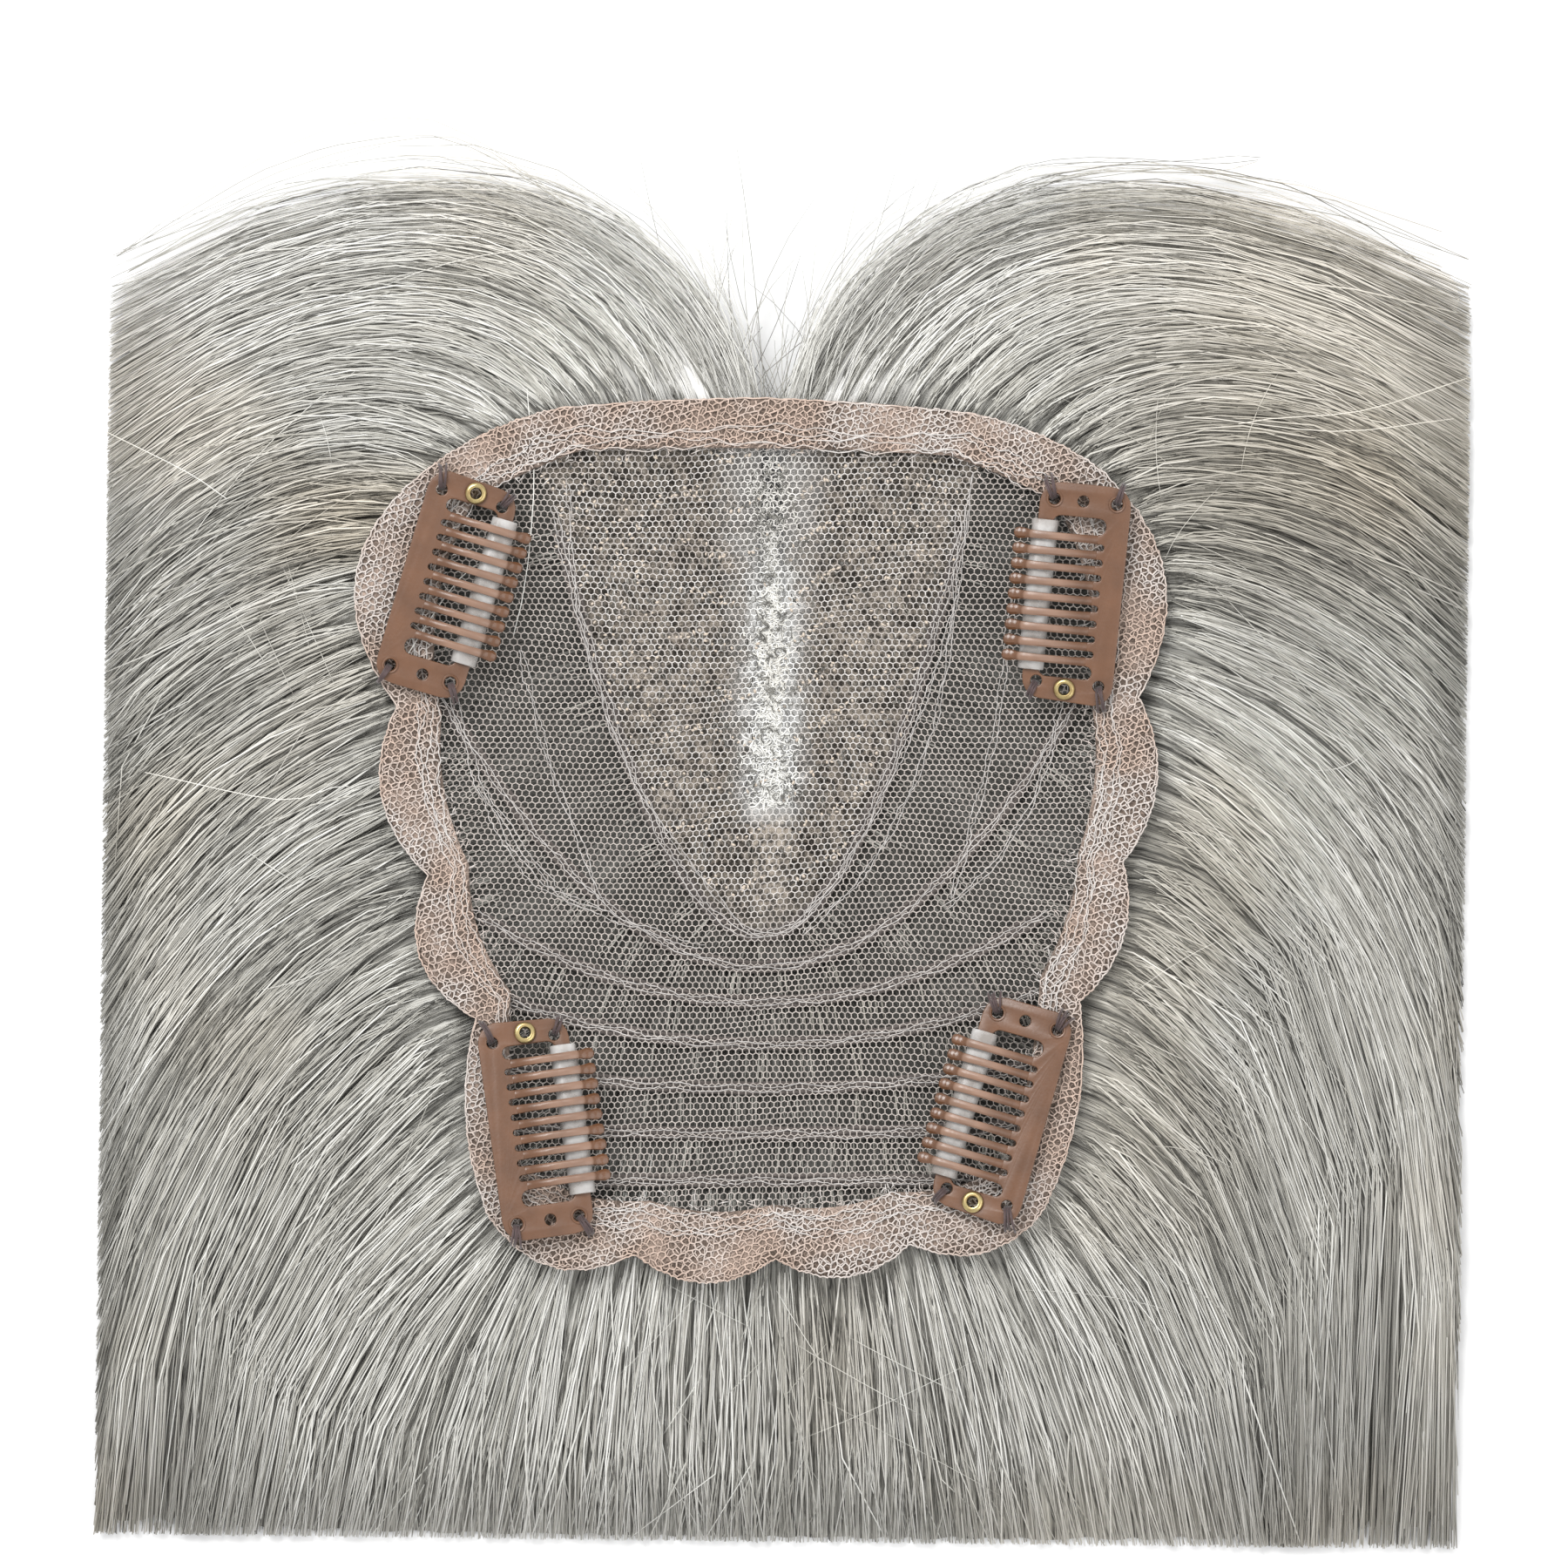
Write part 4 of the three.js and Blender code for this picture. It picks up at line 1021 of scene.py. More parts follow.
class TOPPER_OT_hair(bpy.types.Operator):
    """Hair bundles: the solid body of the hair, in grooved locks"""

    bl_idname = "topper.make_hair"
    bl_label = "Make Hair"

    def execute(self, context):
        settings = context.scene.topper
        material = mass_material("hair_body", colours_of(settings), tuple(settings.knot_color))
        for bundle in BUNDLES:
            self.bundle(bundle, material)
        return {"FINISHED"}

    def bundle(self, bundle, material):
        lock, sides = self.columns(bundle)
        places = place_of_lock(lock, sides)
        controls = controls_at(places, sides)
        groove = (2 * np.abs(lock % 1 - 0.5)) ** 2
        end = trimmed_end(lambda t: along_controls(controls, t), len(lock)) - 0.01 - 0.008 * groove
        free = end[:, None] * np.linspace(0, 1, 19)
        t = np.concatenate([np.broadcast_to(np.linspace(-1, 0, 9)[:-1], (len(lock), 8)), free], axis=1)
        flat = along_controls(controls, t)
        top = hair_top(flat, controls[:, 2], t, front_thin(places)) - 0.7 - 0.8 * np.clip(t, 0, 1)
        top -= 1.1 * groove[:, None] * np.clip(t / 0.1, 0, 1) * (1 - 0.6 * np.clip(t, 0, 1))
        top = np.maximum(top, 0.6)
        upper = np.concatenate([flat, top[..., None]], axis=-1)
        lower = upper * np.array([1, 1, 0.0])
        rows, steps = t.shape
        points = np.concatenate([upper.reshape(-1, 3), lower.reshape(-1, 3)])
        at = lambda layer, i, j: layer * rows * steps + i * steps + j
        i, j = (a.ravel() for a in np.meshgrid(np.arange(rows - 1), np.arange(steps - 1), indexing="ij"))
        upper_faces = np.stack([at(0, i, j), at(0, i, j + 1), at(0, i + 1, j + 1), at(0, i + 1, j)], axis=1)
        lower_faces = np.stack([at(1, i, j), at(1, i + 1, j), at(1, i + 1, j + 1), at(1, i, j + 1)], axis=1)
        border = [(0, j, 0, j + 1) for j in range(steps - 1)]
        border += [(i, steps - 1, i + 1, steps - 1) for i in range(rows - 1)]
        border += [(rows - 1, j, rows - 1, j - 1) for j in range(steps - 1, 0, -1)]
        border += [(i, 0, i - 1, 0) for i in range(rows - 1, 0, -1)]
        walls = np.array([(at(0, c, d), at(0, a, b), at(1, a, b), at(1, c, d)) for a, b, c, d in border])
        faces = [upper_faces, lower_faces, walls]
        uv = np.stack(np.broadcast_arrays(t, counted(lock, sides)[:, None]), axis=-1).reshape(-1, 2)
        obj = add_mesh(f"{bundle['name']}_body", points, faces, np.concatenate([uv, uv]))
        turn_out(obj)
        obj.data.materials.append(material)
        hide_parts(bundle["name"])

    def columns(self, bundle):
        """Lock numbers and sides of a bundle's columns, from one of its borders to the other."""
        runs = []
        for side in (bundle["side"],) if bundle["side"] else (-1, 1):
            low, high = lock_of(np.array([bundle["start"], bundle["end"]], float), np.full(2, side))
            lock = np.linspace(low, high, int((high - low) * BODY_COLUMNS) + 1)
            runs.append((lock, np.full(len(lock), float(side))))
        if bundle["side"]:
            return runs[0]
        (left, left_sides), (right, right_sides) = runs
        return np.concatenate([left, right[-2::-1]]), np.concatenate([left_sides, right_sides[:-1]])


def turn_out(obj):
    """Makes every face of a mesh look outwards."""
    work = bmesh.new()
    work.from_mesh(obj.data)
    bmesh.ops.recalc_face_normals(work, faces=work.faces)
    work.to_mesh(obj.data)
    work.free()


class TOPPER_OT_strands(bpy.types.Operator):
    """Strands: thousands of tapering hairs that lie over the bundles"""

    bl_idname = "topper.make_strands"
    bl_label = "Make Strands"

    def execute(self, context):
        settings = context.scene.topper
        material = hair_material("hair_strand", colours_of(settings))
        for number, bundle in enumerate(BUNDLES):
            rng = np.random.default_rng(100 + number)
            points, faces, uv = self.strands(bundle, bundle["strands"], settings.strand, rng)
            obj = add_mesh(f"{bundle['name']}_strands", points, faces, uv)
            obj.data.materials.append(material)
        return {"FINISHED"}

    def strands(self, bundle, count, size, rng):
        sides = np.full(count, float(bundle["side"])) if bundle["side"] else rng.choice([-1.0, 1.0], count)
        places = spread_places(bundle["start"], bundle["end"], sides, rng)
        lock = lock_of(places, sides)
        lock_middle = np.floor(lock) + 0.5
        gathered = place_of_lock(lock_middle + (lock - lock_middle) * 0.35, sides)
        finer = place_of_lock((np.floor(lock * 3) + 0.5) / 3 + 0.12 * np.sin(lock * 19), sides)
        loose = np.where(rng.uniform(0, 1, count) < 0.35, 2.4, 1.0)[:, None, None]
        own = controls_at(places, sides, 0.8)
        own[:, 3:] += rng.normal(0, 1, (count, 3, 2)) * np.array([0.7, 1.7, 1.9])[None, :, None] * loose
        at_root = controls_at(gathered, sides, 0.8)
        at_tip = controls_at(finer, sides, 0.8)
        own[:, 2] = at_root[:, 2] * 0.8 + own[:, 2] * 0.2
        own[:, 3] += (at_root[:, 3] - own[:, 3]) * 0.3
        pull = rng.uniform(0, 0.75, count)
        gather_from = rng.uniform(0.1, 0.5, count)

        def way(t):
            draw = (pull[:, None] * np.clip((t - gather_from[:, None]) / 0.6, 0, 1))[..., None]
            return along_controls(own, t) * (1 - draw) + along_controls(at_tip, t) * draw

        end = trimmed_end(way, count) - rng.uniform(0, 1, count) ** 6 * 0.03
        start = rng.uniform(-0.22, 0.06, count)
        t = start[:, None] + (end - start)[:, None] * np.linspace(0, 1, bundle["steps"])[None]
        flat = held_inside(way(t) + swing(way(t), t, rng))
        depth = rng.uniform(0, 1, count) ** 1.6
        groove = (2 * np.abs(lock - lock_middle))[:, None]
        near = np.exp(-np.clip(t, 0, None) / 0.25)
        z = hair_top(flat, own[:, 2], t, front_thin(places)) - 0.8 * groove**2 * near
        z -= depth[:, None] * (0.8 + 1.1 * np.clip(t, 0, 1))
        z += rng.normal(0, 0.2, t.shape) * np.clip(t / 0.15, 0, 1)
        z = np.maximum(z, 0.3 + 0.6 * rng.uniform(0, 1, count)[:, None])
        paths = raised(flat, z)
        taper = np.array([0.6] + [1.0] * (bundle["steps"] - 2) + [0.7])
        wide = size * rng.uniform(0.45, 1.15, count)[:, None] * taper
        own_tone = 0.07 * np.sin(np.floor(lock) * 12.9) + 0.08 * np.sin(np.floor(lock * 3) * 7.7)
        base_tone = np.interp(places, TONE_ROWS, TONES) - 0.04 * (sides > 0)
        # Painted shade: strands that lie deeper are darker, and each is darker at its root just past the
        # lace's edge; the bands add broad painted light and shade
        tone = rng.normal(0, 0.2, count) - 0.3 * depth + own_tone + base_tone
        shade = bands(counted(lock, sides)[:, None], t)
        tone = np.clip(tone[:, None] + 0.11 * shade - 0.16 * np.exp(-np.clip(t, 0, 1) / 0.05), 0, 1)
        wide = wide * np.interp(places, (0, 0.5, 0.8), (0.6, 0.8, 1))[:, None]
        kept = rng.uniform(0, 1, count) > np.interp(places, (0, 0.15, 0.6), (0.6, 0.45, 0))
        fine_dark = rng.uniform(0, 1, count) < np.interp(places, (0, 0.6, 1.1), (0.4, 0.25, 0))
        tone = np.where(fine_dark[:, None], tone * 0.3, tone)
        wide = np.where(fine_dark[:, None], wide * 0.75, wide)
        long_hair = tube_arrays(paths[kept], wide[kept], wide[kept] * 0.7, sides=3, uv_v=tone[kept])
        # With the strands go short dark hairs that paint the shade between them
        return merge_arrays([long_hair, self.shadow_dashes(bundle, size, rng)])

    def shadow_dashes(self, bundle, size, rng):
        """Short lengths of dark hair over the silver ones: painted shade for the dark gaps between them,
        drawn as the dark hairs that grey hair has.
        """
        count = bundle["strands"] // 2
        sides = np.full(count, float(bundle["side"])) if bundle["side"] else rng.choice([-1.0, 1.0], count)
        places = spread_places(bundle["start"], bundle["end"], sides, rng)
        own = controls_at(places, sides, 0.8)
        own[:, 3:] += rng.normal(0, 1, (count, 3, 2)) * np.array([0.7, 1.7, 1.9])[None, :, None]
        reach = rng.uniform(0.04, 0.14, count)
        start = rng.uniform(0.0, 0.84, count)
        t = start[:, None] + reach[:, None] * np.linspace(0, 1, 4)
        flat = along_controls(own, t)
        z = hair_top(flat, own[:, 2], t, front_thin(places)) - 0.25 + rng.normal(0, 0.1, t.shape)
        wide = size * rng.uniform(0.4, 0.95, count)[:, None] * np.array([0.2, 1, 0.9, 0.2])
        tone = rng.uniform(0, 0.12, count)
        kept = inside(flat[:, -1], TRIM)
        paths = raised(flat, z)[kept]
        return tube_arrays(paths, wide[kept], wide[kept] * 0.6, uv_v=tone[kept])


def held_inside(flat):
    """Points brought back onto the trimmed outline where they sway past it."""
    x, y = flat[..., 0], flat[..., 1]
    (left_top, left_foot, right_foot, right_top) = TRIM
    left = np.interp(y, (left_foot[1], left_top[1]), (left_foot[0], left_top[0]))
    right = np.interp(y, (right_foot[1], right_top[1]), (right_foot[0], right_top[0]))
    foot = np.interp(x, (left_foot[0], right_foot[0]), (left_foot[1], right_foot[1]))
    return np.stack([np.clip(x, left, right), np.maximum(y, foot)], axis=-1)


def swing(flat, t, rng):
    """How far each hair sways aside along its way, outside the lace."""
    count = len(flat)
    run = np.gradient(flat, axis=1)
    run /= np.maximum(np.linalg.norm(run, axis=-1, keepdims=True), 1e-6)
    aside = np.stack([-run[..., 1], run[..., 0]], axis=-1)
    pace, phase = rng.uniform(5, 13, (count, 1)), rng.uniform(0, 6, (count, 1))
    sway = rng.uniform(0.1, 0.5, (count, 1)) * np.sin(t * pace + phase) * np.clip(t / 0.15, 0, 1)
    return aside * sway[..., None]


def spread_places(start, end, sides, rng):
    """Places between two rows of the flow, as dense everywhere as the hair has room."""
    draw = rng.uniform(0, 1, len(sides))
    grid = np.linspace(start, end, 200)
    places = []
    for side in (-1.0, 1.0):
        ways = controls_at(grid, np.full(200, side))
        spread = np.linalg.norm(np.gradient(ways[:, 4] * 0.6 + ways[:, 2] * 0.4, axis=0), axis=1)
        places.append(np.interp(draw, np.cumsum(spread) / spread.sum(), grid))
    return np.where(sides < 0, *places)


def trimmed_end(way, count):
    """How far along its way each hair reaches the trimmed outline."""
    t = np.linspace(0.4, 1.12, 240)
    points = way(np.broadcast_to(t, (count, len(t))))
    beyond = ~inside(points.reshape(-1, 2), TRIM).reshape(count, len(t))
    first = np.where(beyond.any(axis=1), beyond.argmax(axis=1), len(t))
    return t[np.clip(first - 1, 0, None)]


class TOPPER_OT_roots(bpy.types.Operator):
    """Hair under the net: locks that hang from the wefts, and the knotted hair of the front"""

    bl_idname = "topper.make_roots"
    bl_label = "Make Roots"

    def execute(self, context):
        settings = context.scene.topper
        material = hair_material("hair_root", colours_of(settings))
        rng = np.random.default_rng(21)
        for make in (self.weft_hair, self.knotted_hair, self.parting_fuzz, self.parting_knots):
            points, faces, uv = make(settings.strand, rng)
            add_mesh(make.__name__, points, faces, uv).data.materials.append(material)
        return {"FINISHED"}

    def weft_hair(self, size, rng):
        """Short locks that leave each weft away from the parting."""
        parts = []
        for row in WEFTS:
            length = 2 * row["side"] * HALF[0] * (1 + row["rise"])
            count = int(length)
            across = rng.uniform(-1, 1, count)
            bunch = 0.5 + 0.5 * np.sin(across * row["side"] * 50 + row["middle"] * 50)
            x = across * row["side"] * HALF[0]
            y = (row["middle"] + row["rise"] * across**2) * HALF[1]
            slope = 2 * row["rise"] * across * HALF[1] / (row["side"] * HALF[0])
            away = np.stack([slope, -np.ones(count)], axis=1)
            away /= np.linalg.norm(away, axis=1, keepdims=True)
            away += rng.normal(0, 0.07, (count, 2))
            reach = rng.uniform(4, 8, count)
            share = np.linspace(0, 1, 4)
            flat = np.stack([x, y], axis=1)[:, None] + away[:, None] * (share * reach[:, None])[..., None]
            z = lace_at(flat) - 0.9 - 0.8 * rng.uniform(0, 1, count)[:, None] - 0.6 * share**2
            wide = size * (0.6 + 0.6 * bunch)[:, None] * np.array([0.8, 1, 1, 0.5])
            # Painted shade under the net: the locks are dark, darkest between their bunches
            tone = np.clip(0.03 + 0.25 * bunch + rng.normal(0, 0.08, count), 0, 1)
            parts.append(tube_arrays(raised(flat, z), wide, wide, uv_v=tone))
        return merge_arrays(parts)

    def knotted_hair(self, size, rng):
        """Short dark roots that hang from the knots of the front, close under the net."""
        count = 1500
        row = WEFTS[0]
        x = rng.uniform(-0.52, 0.56, count) * HALF[0]
        y = rng.uniform(-0.2, 0.85, count) * HALF[1]
        keep = y > (row["middle"] + 0.06 + row["rise"] * (x / (row["side"] * HALF[0])) ** 2) * HALF[1]
        keep &= np.abs(x - PARTING_OFFSET) > 2.5
        start = np.stack([x, y], axis=1)[keep]
        count = len(start)
        turn = rng.normal(-math.pi / 2, 0.5, count)
        reach = rng.uniform(0.8, 2.4, count)
        way = np.stack([np.cos(turn), np.sin(turn)], axis=1) * reach[:, None]
        share = np.linspace(0, 1, 3)[None, :, None]
        flat = start[:, None] + way[:, None] * share + rng.normal(0, 0.12, (count, 3, 2))
        z = lace_at(flat) - 0.1 - 0.5 * rng.uniform(0, 1, count)[:, None]
        wide = size * rng.uniform(0.5, 1.3, count)[:, None] * np.array([0.8, 1, 0.6])
        tone = np.clip(rng.normal(0.08, 0.1, count), 0, 1)
        return tube_arrays(raised(flat, z), wide, wide, uv_v=tone)

    def parting_fuzz(self, size, rng):
        """Fine pale hair that fills the parting: thin and grey at the front, dense and white at the back."""
        count = 1500
        share = rng.uniform(0, 1, count) ** 0.75
        y = PARTING_FRONT - 4 - share * (PARTING_LENGTH - 4)
        along, widths = (0, 0.2, 0.27, 0.42, 0.5, 0.72, 0.9, 1), (3.4, 2.4, 0.8, 1.2, 2.2, 1.7, 3.4, 2.0)
        half = np.interp(share, along, widths)
        x = PARTING_OFFSET + rng.normal(0, 0.6, count) * half
        turn = rng.uniform(0, math.pi, count)
        reach = rng.uniform(0.35, 1.0, count)[:, None] * np.stack([np.cos(turn), np.sin(turn)], axis=1)
        middle = np.stack([x, y], axis=1)
        bend = rng.normal(0, 0.25, (count, 2))
        flat = np.stack([middle - reach, middle + bend, middle + reach], axis=1)
        over = np.where(share > 0.38, 0.62, 0.2)[:, None]
        z = lace_at(flat) + over - 0.8 * rng.uniform(0, 1, (count, 1)) ** 2
        wide = size * rng.uniform(0.5, 1.2, count)[:, None] * np.array([0.6, 1, 0.6])
        tone = np.interp(share, (0, 0.28, 0.4, 1), (0.85, 0.9, 1.05, 1.05)) * rng.uniform(0.9, 1.1, count)
        return tube_arrays(raised(flat, z), wide, wide, uv_v=np.clip(tone, 0, 1))

    def parting_knots(self, size, rng):
        """Dark knots and curled roots on both sides of the parting."""
        count = 260
        share = rng.uniform(0.06, 0.99, count)
        y = PARTING_FRONT - 4 - share * (PARTING_LENGTH - 4)
        half = np.interp(share, (0, 0.25, 0.4, 0.7, 1), (4.5, 2.6, 3.2, 4.6, 4.2))
        x = PARTING_OFFSET + rng.normal(0, 0.75, count) * half
        steps = np.linspace(0, 1, 6)
        turn = rng.uniform(0, 2 * math.pi, count)[:, None] + rng.normal(0, 2.2, count)[:, None] * steps
        stride = rng.uniform(0.14, 0.34, count)[:, None] * np.ones(6)
        way = np.cumsum(np.stack([np.cos(turn), np.sin(turn)], axis=-1) * stride[..., None], axis=1)
        flat = np.stack([x, y], axis=1)[:, None] + way
        z = lace_at(flat) + LACE_WALL / 2 + 0.42 + rng.uniform(-0.2, 0.1, (count, 1))
        wide = size * rng.uniform(0.5, 0.95, count)[:, None] * np.array([1.2, 1, 0.9, 0.8, 0.7, 0.5])
        tone = rng.uniform(0, 0.12, count)
        return tube_arrays(raised(flat, z), wide, uv_v=tone)


class TOPPER_OT_seams(bpy.types.Operator):
    """Seams and knots: the pale stitches along the wefts, and the knots of the hand-tied front"""

    bl_idname = "topper.make_seams"
    bl_label = "Make Seams"

    def execute(self, context):
        settings = context.scene.topper
        rng = np.random.default_rng(31)
        lines = []
        for row in WEFTS:
            across = np.linspace(-1.03, 1.03, 60)
            y = (row["middle"] + row["rise"] * across**2) * HALF[1]
            lines.append(np.stack([across * row["side"] * HALF[0], y], axis=1))
        lines += [smooth_line(np.array(seam, float)) for seam in SEAMS]
        parts = []
        for line in lines:
            for offset in (-0.35, 0.3):
                parts.append(self.seam(line, offset + rng.normal(0, 0.1), rng))
        points, faces, uv = merge_arrays(parts)
        obj = add_mesh("seam_stitches", points, faces, uv)
        dimmed = tuple(c * 0.84 for c in settings.stitch_color)
        obj.data.materials.append(thread_material("seam_thread", dimmed))
        points, faces, uv = self.knots(rng)
        obj = add_mesh("knots", points, faces, uv)
        obj.data.materials.append(knot_material(settings))
        return {"FINISHED"}

    def seam(self, line, offset, rng):
        """A thin thread that wanders beside a line, on top of the net."""
        steps = np.linalg.norm(np.diff(line, axis=0), axis=1)
        length = np.concatenate([[0], np.cumsum(steps)])
        at = np.arange(0, length[-1], SEAM_STEP)
        x, y = (np.interp(at, length, line[:, k]) for k in (0, 1))
        flat = np.stack([x, y], axis=1)
        run = np.gradient(flat, axis=0)
        run /= np.maximum(np.linalg.norm(run, axis=1, keepdims=True), 1e-6)
        aside = np.stack([-run[:, 1], run[:, 0]], axis=1)
        shift = offset + 0.2 * np.sin(at * 0.7 + rng.uniform(0, 6)) + rng.normal(0, 0.09, len(at))
        flat = flat + aside * shift[:, None]
        z = lace_at(flat) + LACE_WALL / 2 + 0.1 + rng.uniform(0, 0.12, len(at))
        wide = rng.uniform(0.08, 0.2, len(at))
        return tube_arrays(np.concatenate([flat, z[:, None]], axis=-1)[None], wide[None], sides=3)

    def knots(self, rng):
        """Small round knots on the net's crossings over the front, inside the first weft."""
        settings = bpy.context.scene.topper
        row = WEFTS[0]
        places = hexagon_threads(settings.cell, outline(EDGE_WIDTH, 0.4, EDGE_SHIFT))[::7, 0]
        x, y = places.T
        share = x / (row["side"] * 1.06 * HALF[0])
        keep = y > (row["middle"] + 0.05 + row["rise"] * share**2) * HALF[1]
        keep &= np.abs(x - PARTING_OFFSET) > rng.uniform(-1, 5.0, len(x))
        keep &= rng.uniform(0, 1, len(x)) < 0.6 + 0.35 * np.sin(x / 2.1 + np.sin(y / 3)) * np.sin(y / 4.3)
        flat = places[keep] + rng.normal(0, 0.08, (keep.sum(), 2))
        count = len(flat)
        turn = rng.uniform(0, math.pi, count)
        reach = rng.uniform(0.2, 0.36, count)[:, None] * np.stack([np.cos(turn), np.sin(turn)], axis=1)
        ends = np.stack([flat - reach, flat, flat + reach], axis=1)
        z = lace_at(ends) + LACE_WALL / 2 + rng.uniform(-0.1, 0.12, count)[:, None]
        wide = rng.uniform(0.3, 0.55, (count, 1)) * np.array([0.5, 1, 0.5])
        paths = np.concatenate([ends, z[..., None]], axis=-1)
        return tube_arrays(paths, wide, sides=3, uv_v=rng.uniform(0, 1, count))


def smooth_line(points, steps=16):
    """A smooth line through points."""
    padded = np.concatenate([2 * points[:1] - points[1:2], points, 2 * points[-1:] - points[-2:-1]])
    t = np.linspace(0, 1, steps, endpoint=False)[:, None]
    runs = []
    for a, b, c, d in zip(padded, padded[1:], padded[2:], padded[3:]):
        runs.append(b + 0.5 * t * (c - a + t * (2 * a - 5 * b + 4 * c - d + t * (3 * (b - c) + d - a))))
    return np.concatenate(runs + [points[-1:]])


def knot_material(settings):
    """Knots: most are cream like the net, and some are dark hair."""
    s = Shader("knot", Roughness=0.7)
    tone = s.split(s.flow(), "Y")
    cream = tuple(c * f for c, f in zip(settings.stitch_color, (0.95, 0.86, 0.74)))
    uneven = s.noise(s.position(), 1200.0, 2.0)
    base = s.mix(s.span(tone, 0.62, 0.68), cream, tuple(settings.hair_dark))
    s.feed("Base Color", s.mix(s.span(uneven, 0.4, 0.7, 0.0, 0.3), base, tuple(settings.net_color)))
    s.bump(uneven, 0.0001, 0.5)
    return s.material


class TOPPER_OT_stray(bpy.types.Operator):
    """Stray hair: wisps at the front, and single hairs that cross the others"""

    bl_idname = "topper.make_stray"
    bl_label = "Make Stray Hair"

    def execute(self, context):
        settings = context.scene.topper
        material = hair_material("hair_stray", colours_of(settings))
        rng = np.random.default_rng(61)
        kinds = (self.wisps, self.crossing, self.notch, self.arcs, self.long_hairs)
        points, faces, uv = merge_arrays([make(settings.strand, rng) for make in kinds])
        add_mesh("stray_hair", points, faces, uv).data.materials.append(material)
        return {"FINISHED"}

    def notch(self, size, rng):
        """Fine hair that fans out of the notch between the two wings."""
        count = 100
        root = np.stack([PARTING_OFFSET + rng.normal(0, 6.5, count), rng.uniform(61, 64, count)], axis=1)
        turn = rng.normal(0, 0.38, count) + (root[:, 0] - PARTING_OFFSET) * 0.045
        length = np.minimum(rng.uniform(16, 54, count) * rng.uniform(0.6, 1, count), 42)
        curl = rng.normal(0, 0.3, count) + 0.35 * turn
        share = np.linspace(0, 1, 6)[None]
        angle = turn[:, None] + curl[:, None] * share
        x = root[:, :1] + length[:, None] * share * np.sin(angle)
        y = root[:, 1:] + length[:, None] * share * np.cos(angle)
        kept = y.max(axis=1) < 104
        z = np.linspace(13, 2, 6)[None] * rng.uniform(0.5, 1.1, (count, 1))
        wide = size * rng.uniform(0.32, 0.55, (count, 1)) * np.array([1, 1, 1, 0.9, 0.8, 0.5])
        paths = np.stack([x, y, z], axis=-1)
        return tube_arrays(paths[kept], wide[kept], uv_v=rng.uniform(0.05, 0.45, count)[kept])

    def arcs(self, size, rng):
        """Flyaway hairs that arch over both wings."""
        paths, tones = [], []
        for line, copies in FLYAWAYS:
            smooth = smooth_line(np.array(line, float), 5)
            steps = np.linspace(0, 1, len(smooth))
            for _ in range(copies):
                lean = rng.normal(0, 1.6, 2)[None] * np.sin(steps * math.pi)[:, None] ** 0.5
                wave = 0.5 * np.sin(steps * rng.uniform(5, 12) + rng.uniform(0, 6))
                flat = smooth + lean + wave[:, None]
                flat[:, 1] = np.minimum(flat[:, 1], WISP_LIMIT)
                drawn = smooth_line(flat, 1)[np.linspace(0, len(smooth) - 1, 17).astype(int)]
                z = np.interp(np.linspace(0, 1, 17), (0, 0.2, 1), (14, 10, 3))
                paths.append(np.concatenate([drawn, z[:, None]], axis=1))
                tones.append(rng.uniform(0, 0.6))
        wide = size * rng.uniform(0.32, 0.55, (len(paths), 1)) * np.ones(17)
        return tube_arrays(np.array(paths), wide, uv_v=np.array(tones))

    def long_hairs(self, size, rng):
        """Single long pale hairs that lie across the rest."""
        lines = [smooth_line(np.array(line, float), 4)[:9] for line in LONG_HAIRS]
        flat = np.array(lines)
        radius = np.linalg.norm(flat, axis=-1)
        z = lace_under(radius) + np.where(radius < 60, 2.6, 1.6)
        z = z + np.where(radius > 70, -5.0 * (radius - 70) / 35, 0)
        wide = size * 0.55 * np.ones(z.shape)
        return tube_arrays(raised(flat, z), wide, uv_v=np.full(len(lines), 0.9))

    def wisps(self, size, rng):
        """Fine hair that rises from the front edge and frays the outline of both wings."""
        count = 400
        places = rng.uniform(0, 1, count) ** 2.2 * 1.3
        sides = rng.choice([-1.0, 1.0], count)
        controls = controls_at(places, sides, 0.6)
        controls[:, 2:] += rng.normal(0, 1, (count, 4, 2)) * np.array([0.8, 2.0, 3.5, 4.0])[None, :, None]
        controls[:, 3:, 1] += np.abs(rng.normal(0, 1, count))[:, None] * np.array([0.8, 2.6, 1.6])
        inward = rng.uniform(0, 1, count) < 0.22
        controls[inward, 3:, 0] -= sides[inward, None] * np.array([4.0, 16.0, 30.0])
        reach = rng.uniform(0.3, 1, count) * np.where(inward, 0.6, 1)

        def way(t):
            return along_controls(controls, t)

        end = np.minimum(trimmed_end(way, count), reach)
        t = -0.15 + (end + 0.15)[:, None] * np.linspace(0, 1, 9)
        flat = way(t)
        kept = flat[..., 1].max(axis=1) < WISP_LIMIT
        z = np.maximum(hair_top(flat, controls[:, 2], t) * rng.uniform(0.5, 1.0, count)[:, None], 0.4)
        wide = size * rng.uniform(0.28, 0.55, (count, 1)) * np.array([1.0] * 6 + [0.8, 0.6, 0.3])
        dark = rng.uniform(0, 1, count) < 0.2
        tone = np.where(dark, rng.uniform(0.05, 0.4, count), rng.uniform(0.6, 1, count))
        paths = raised(flat, z)
        return tube_arrays(paths[kept], wide[kept], uv_v=tone[kept])

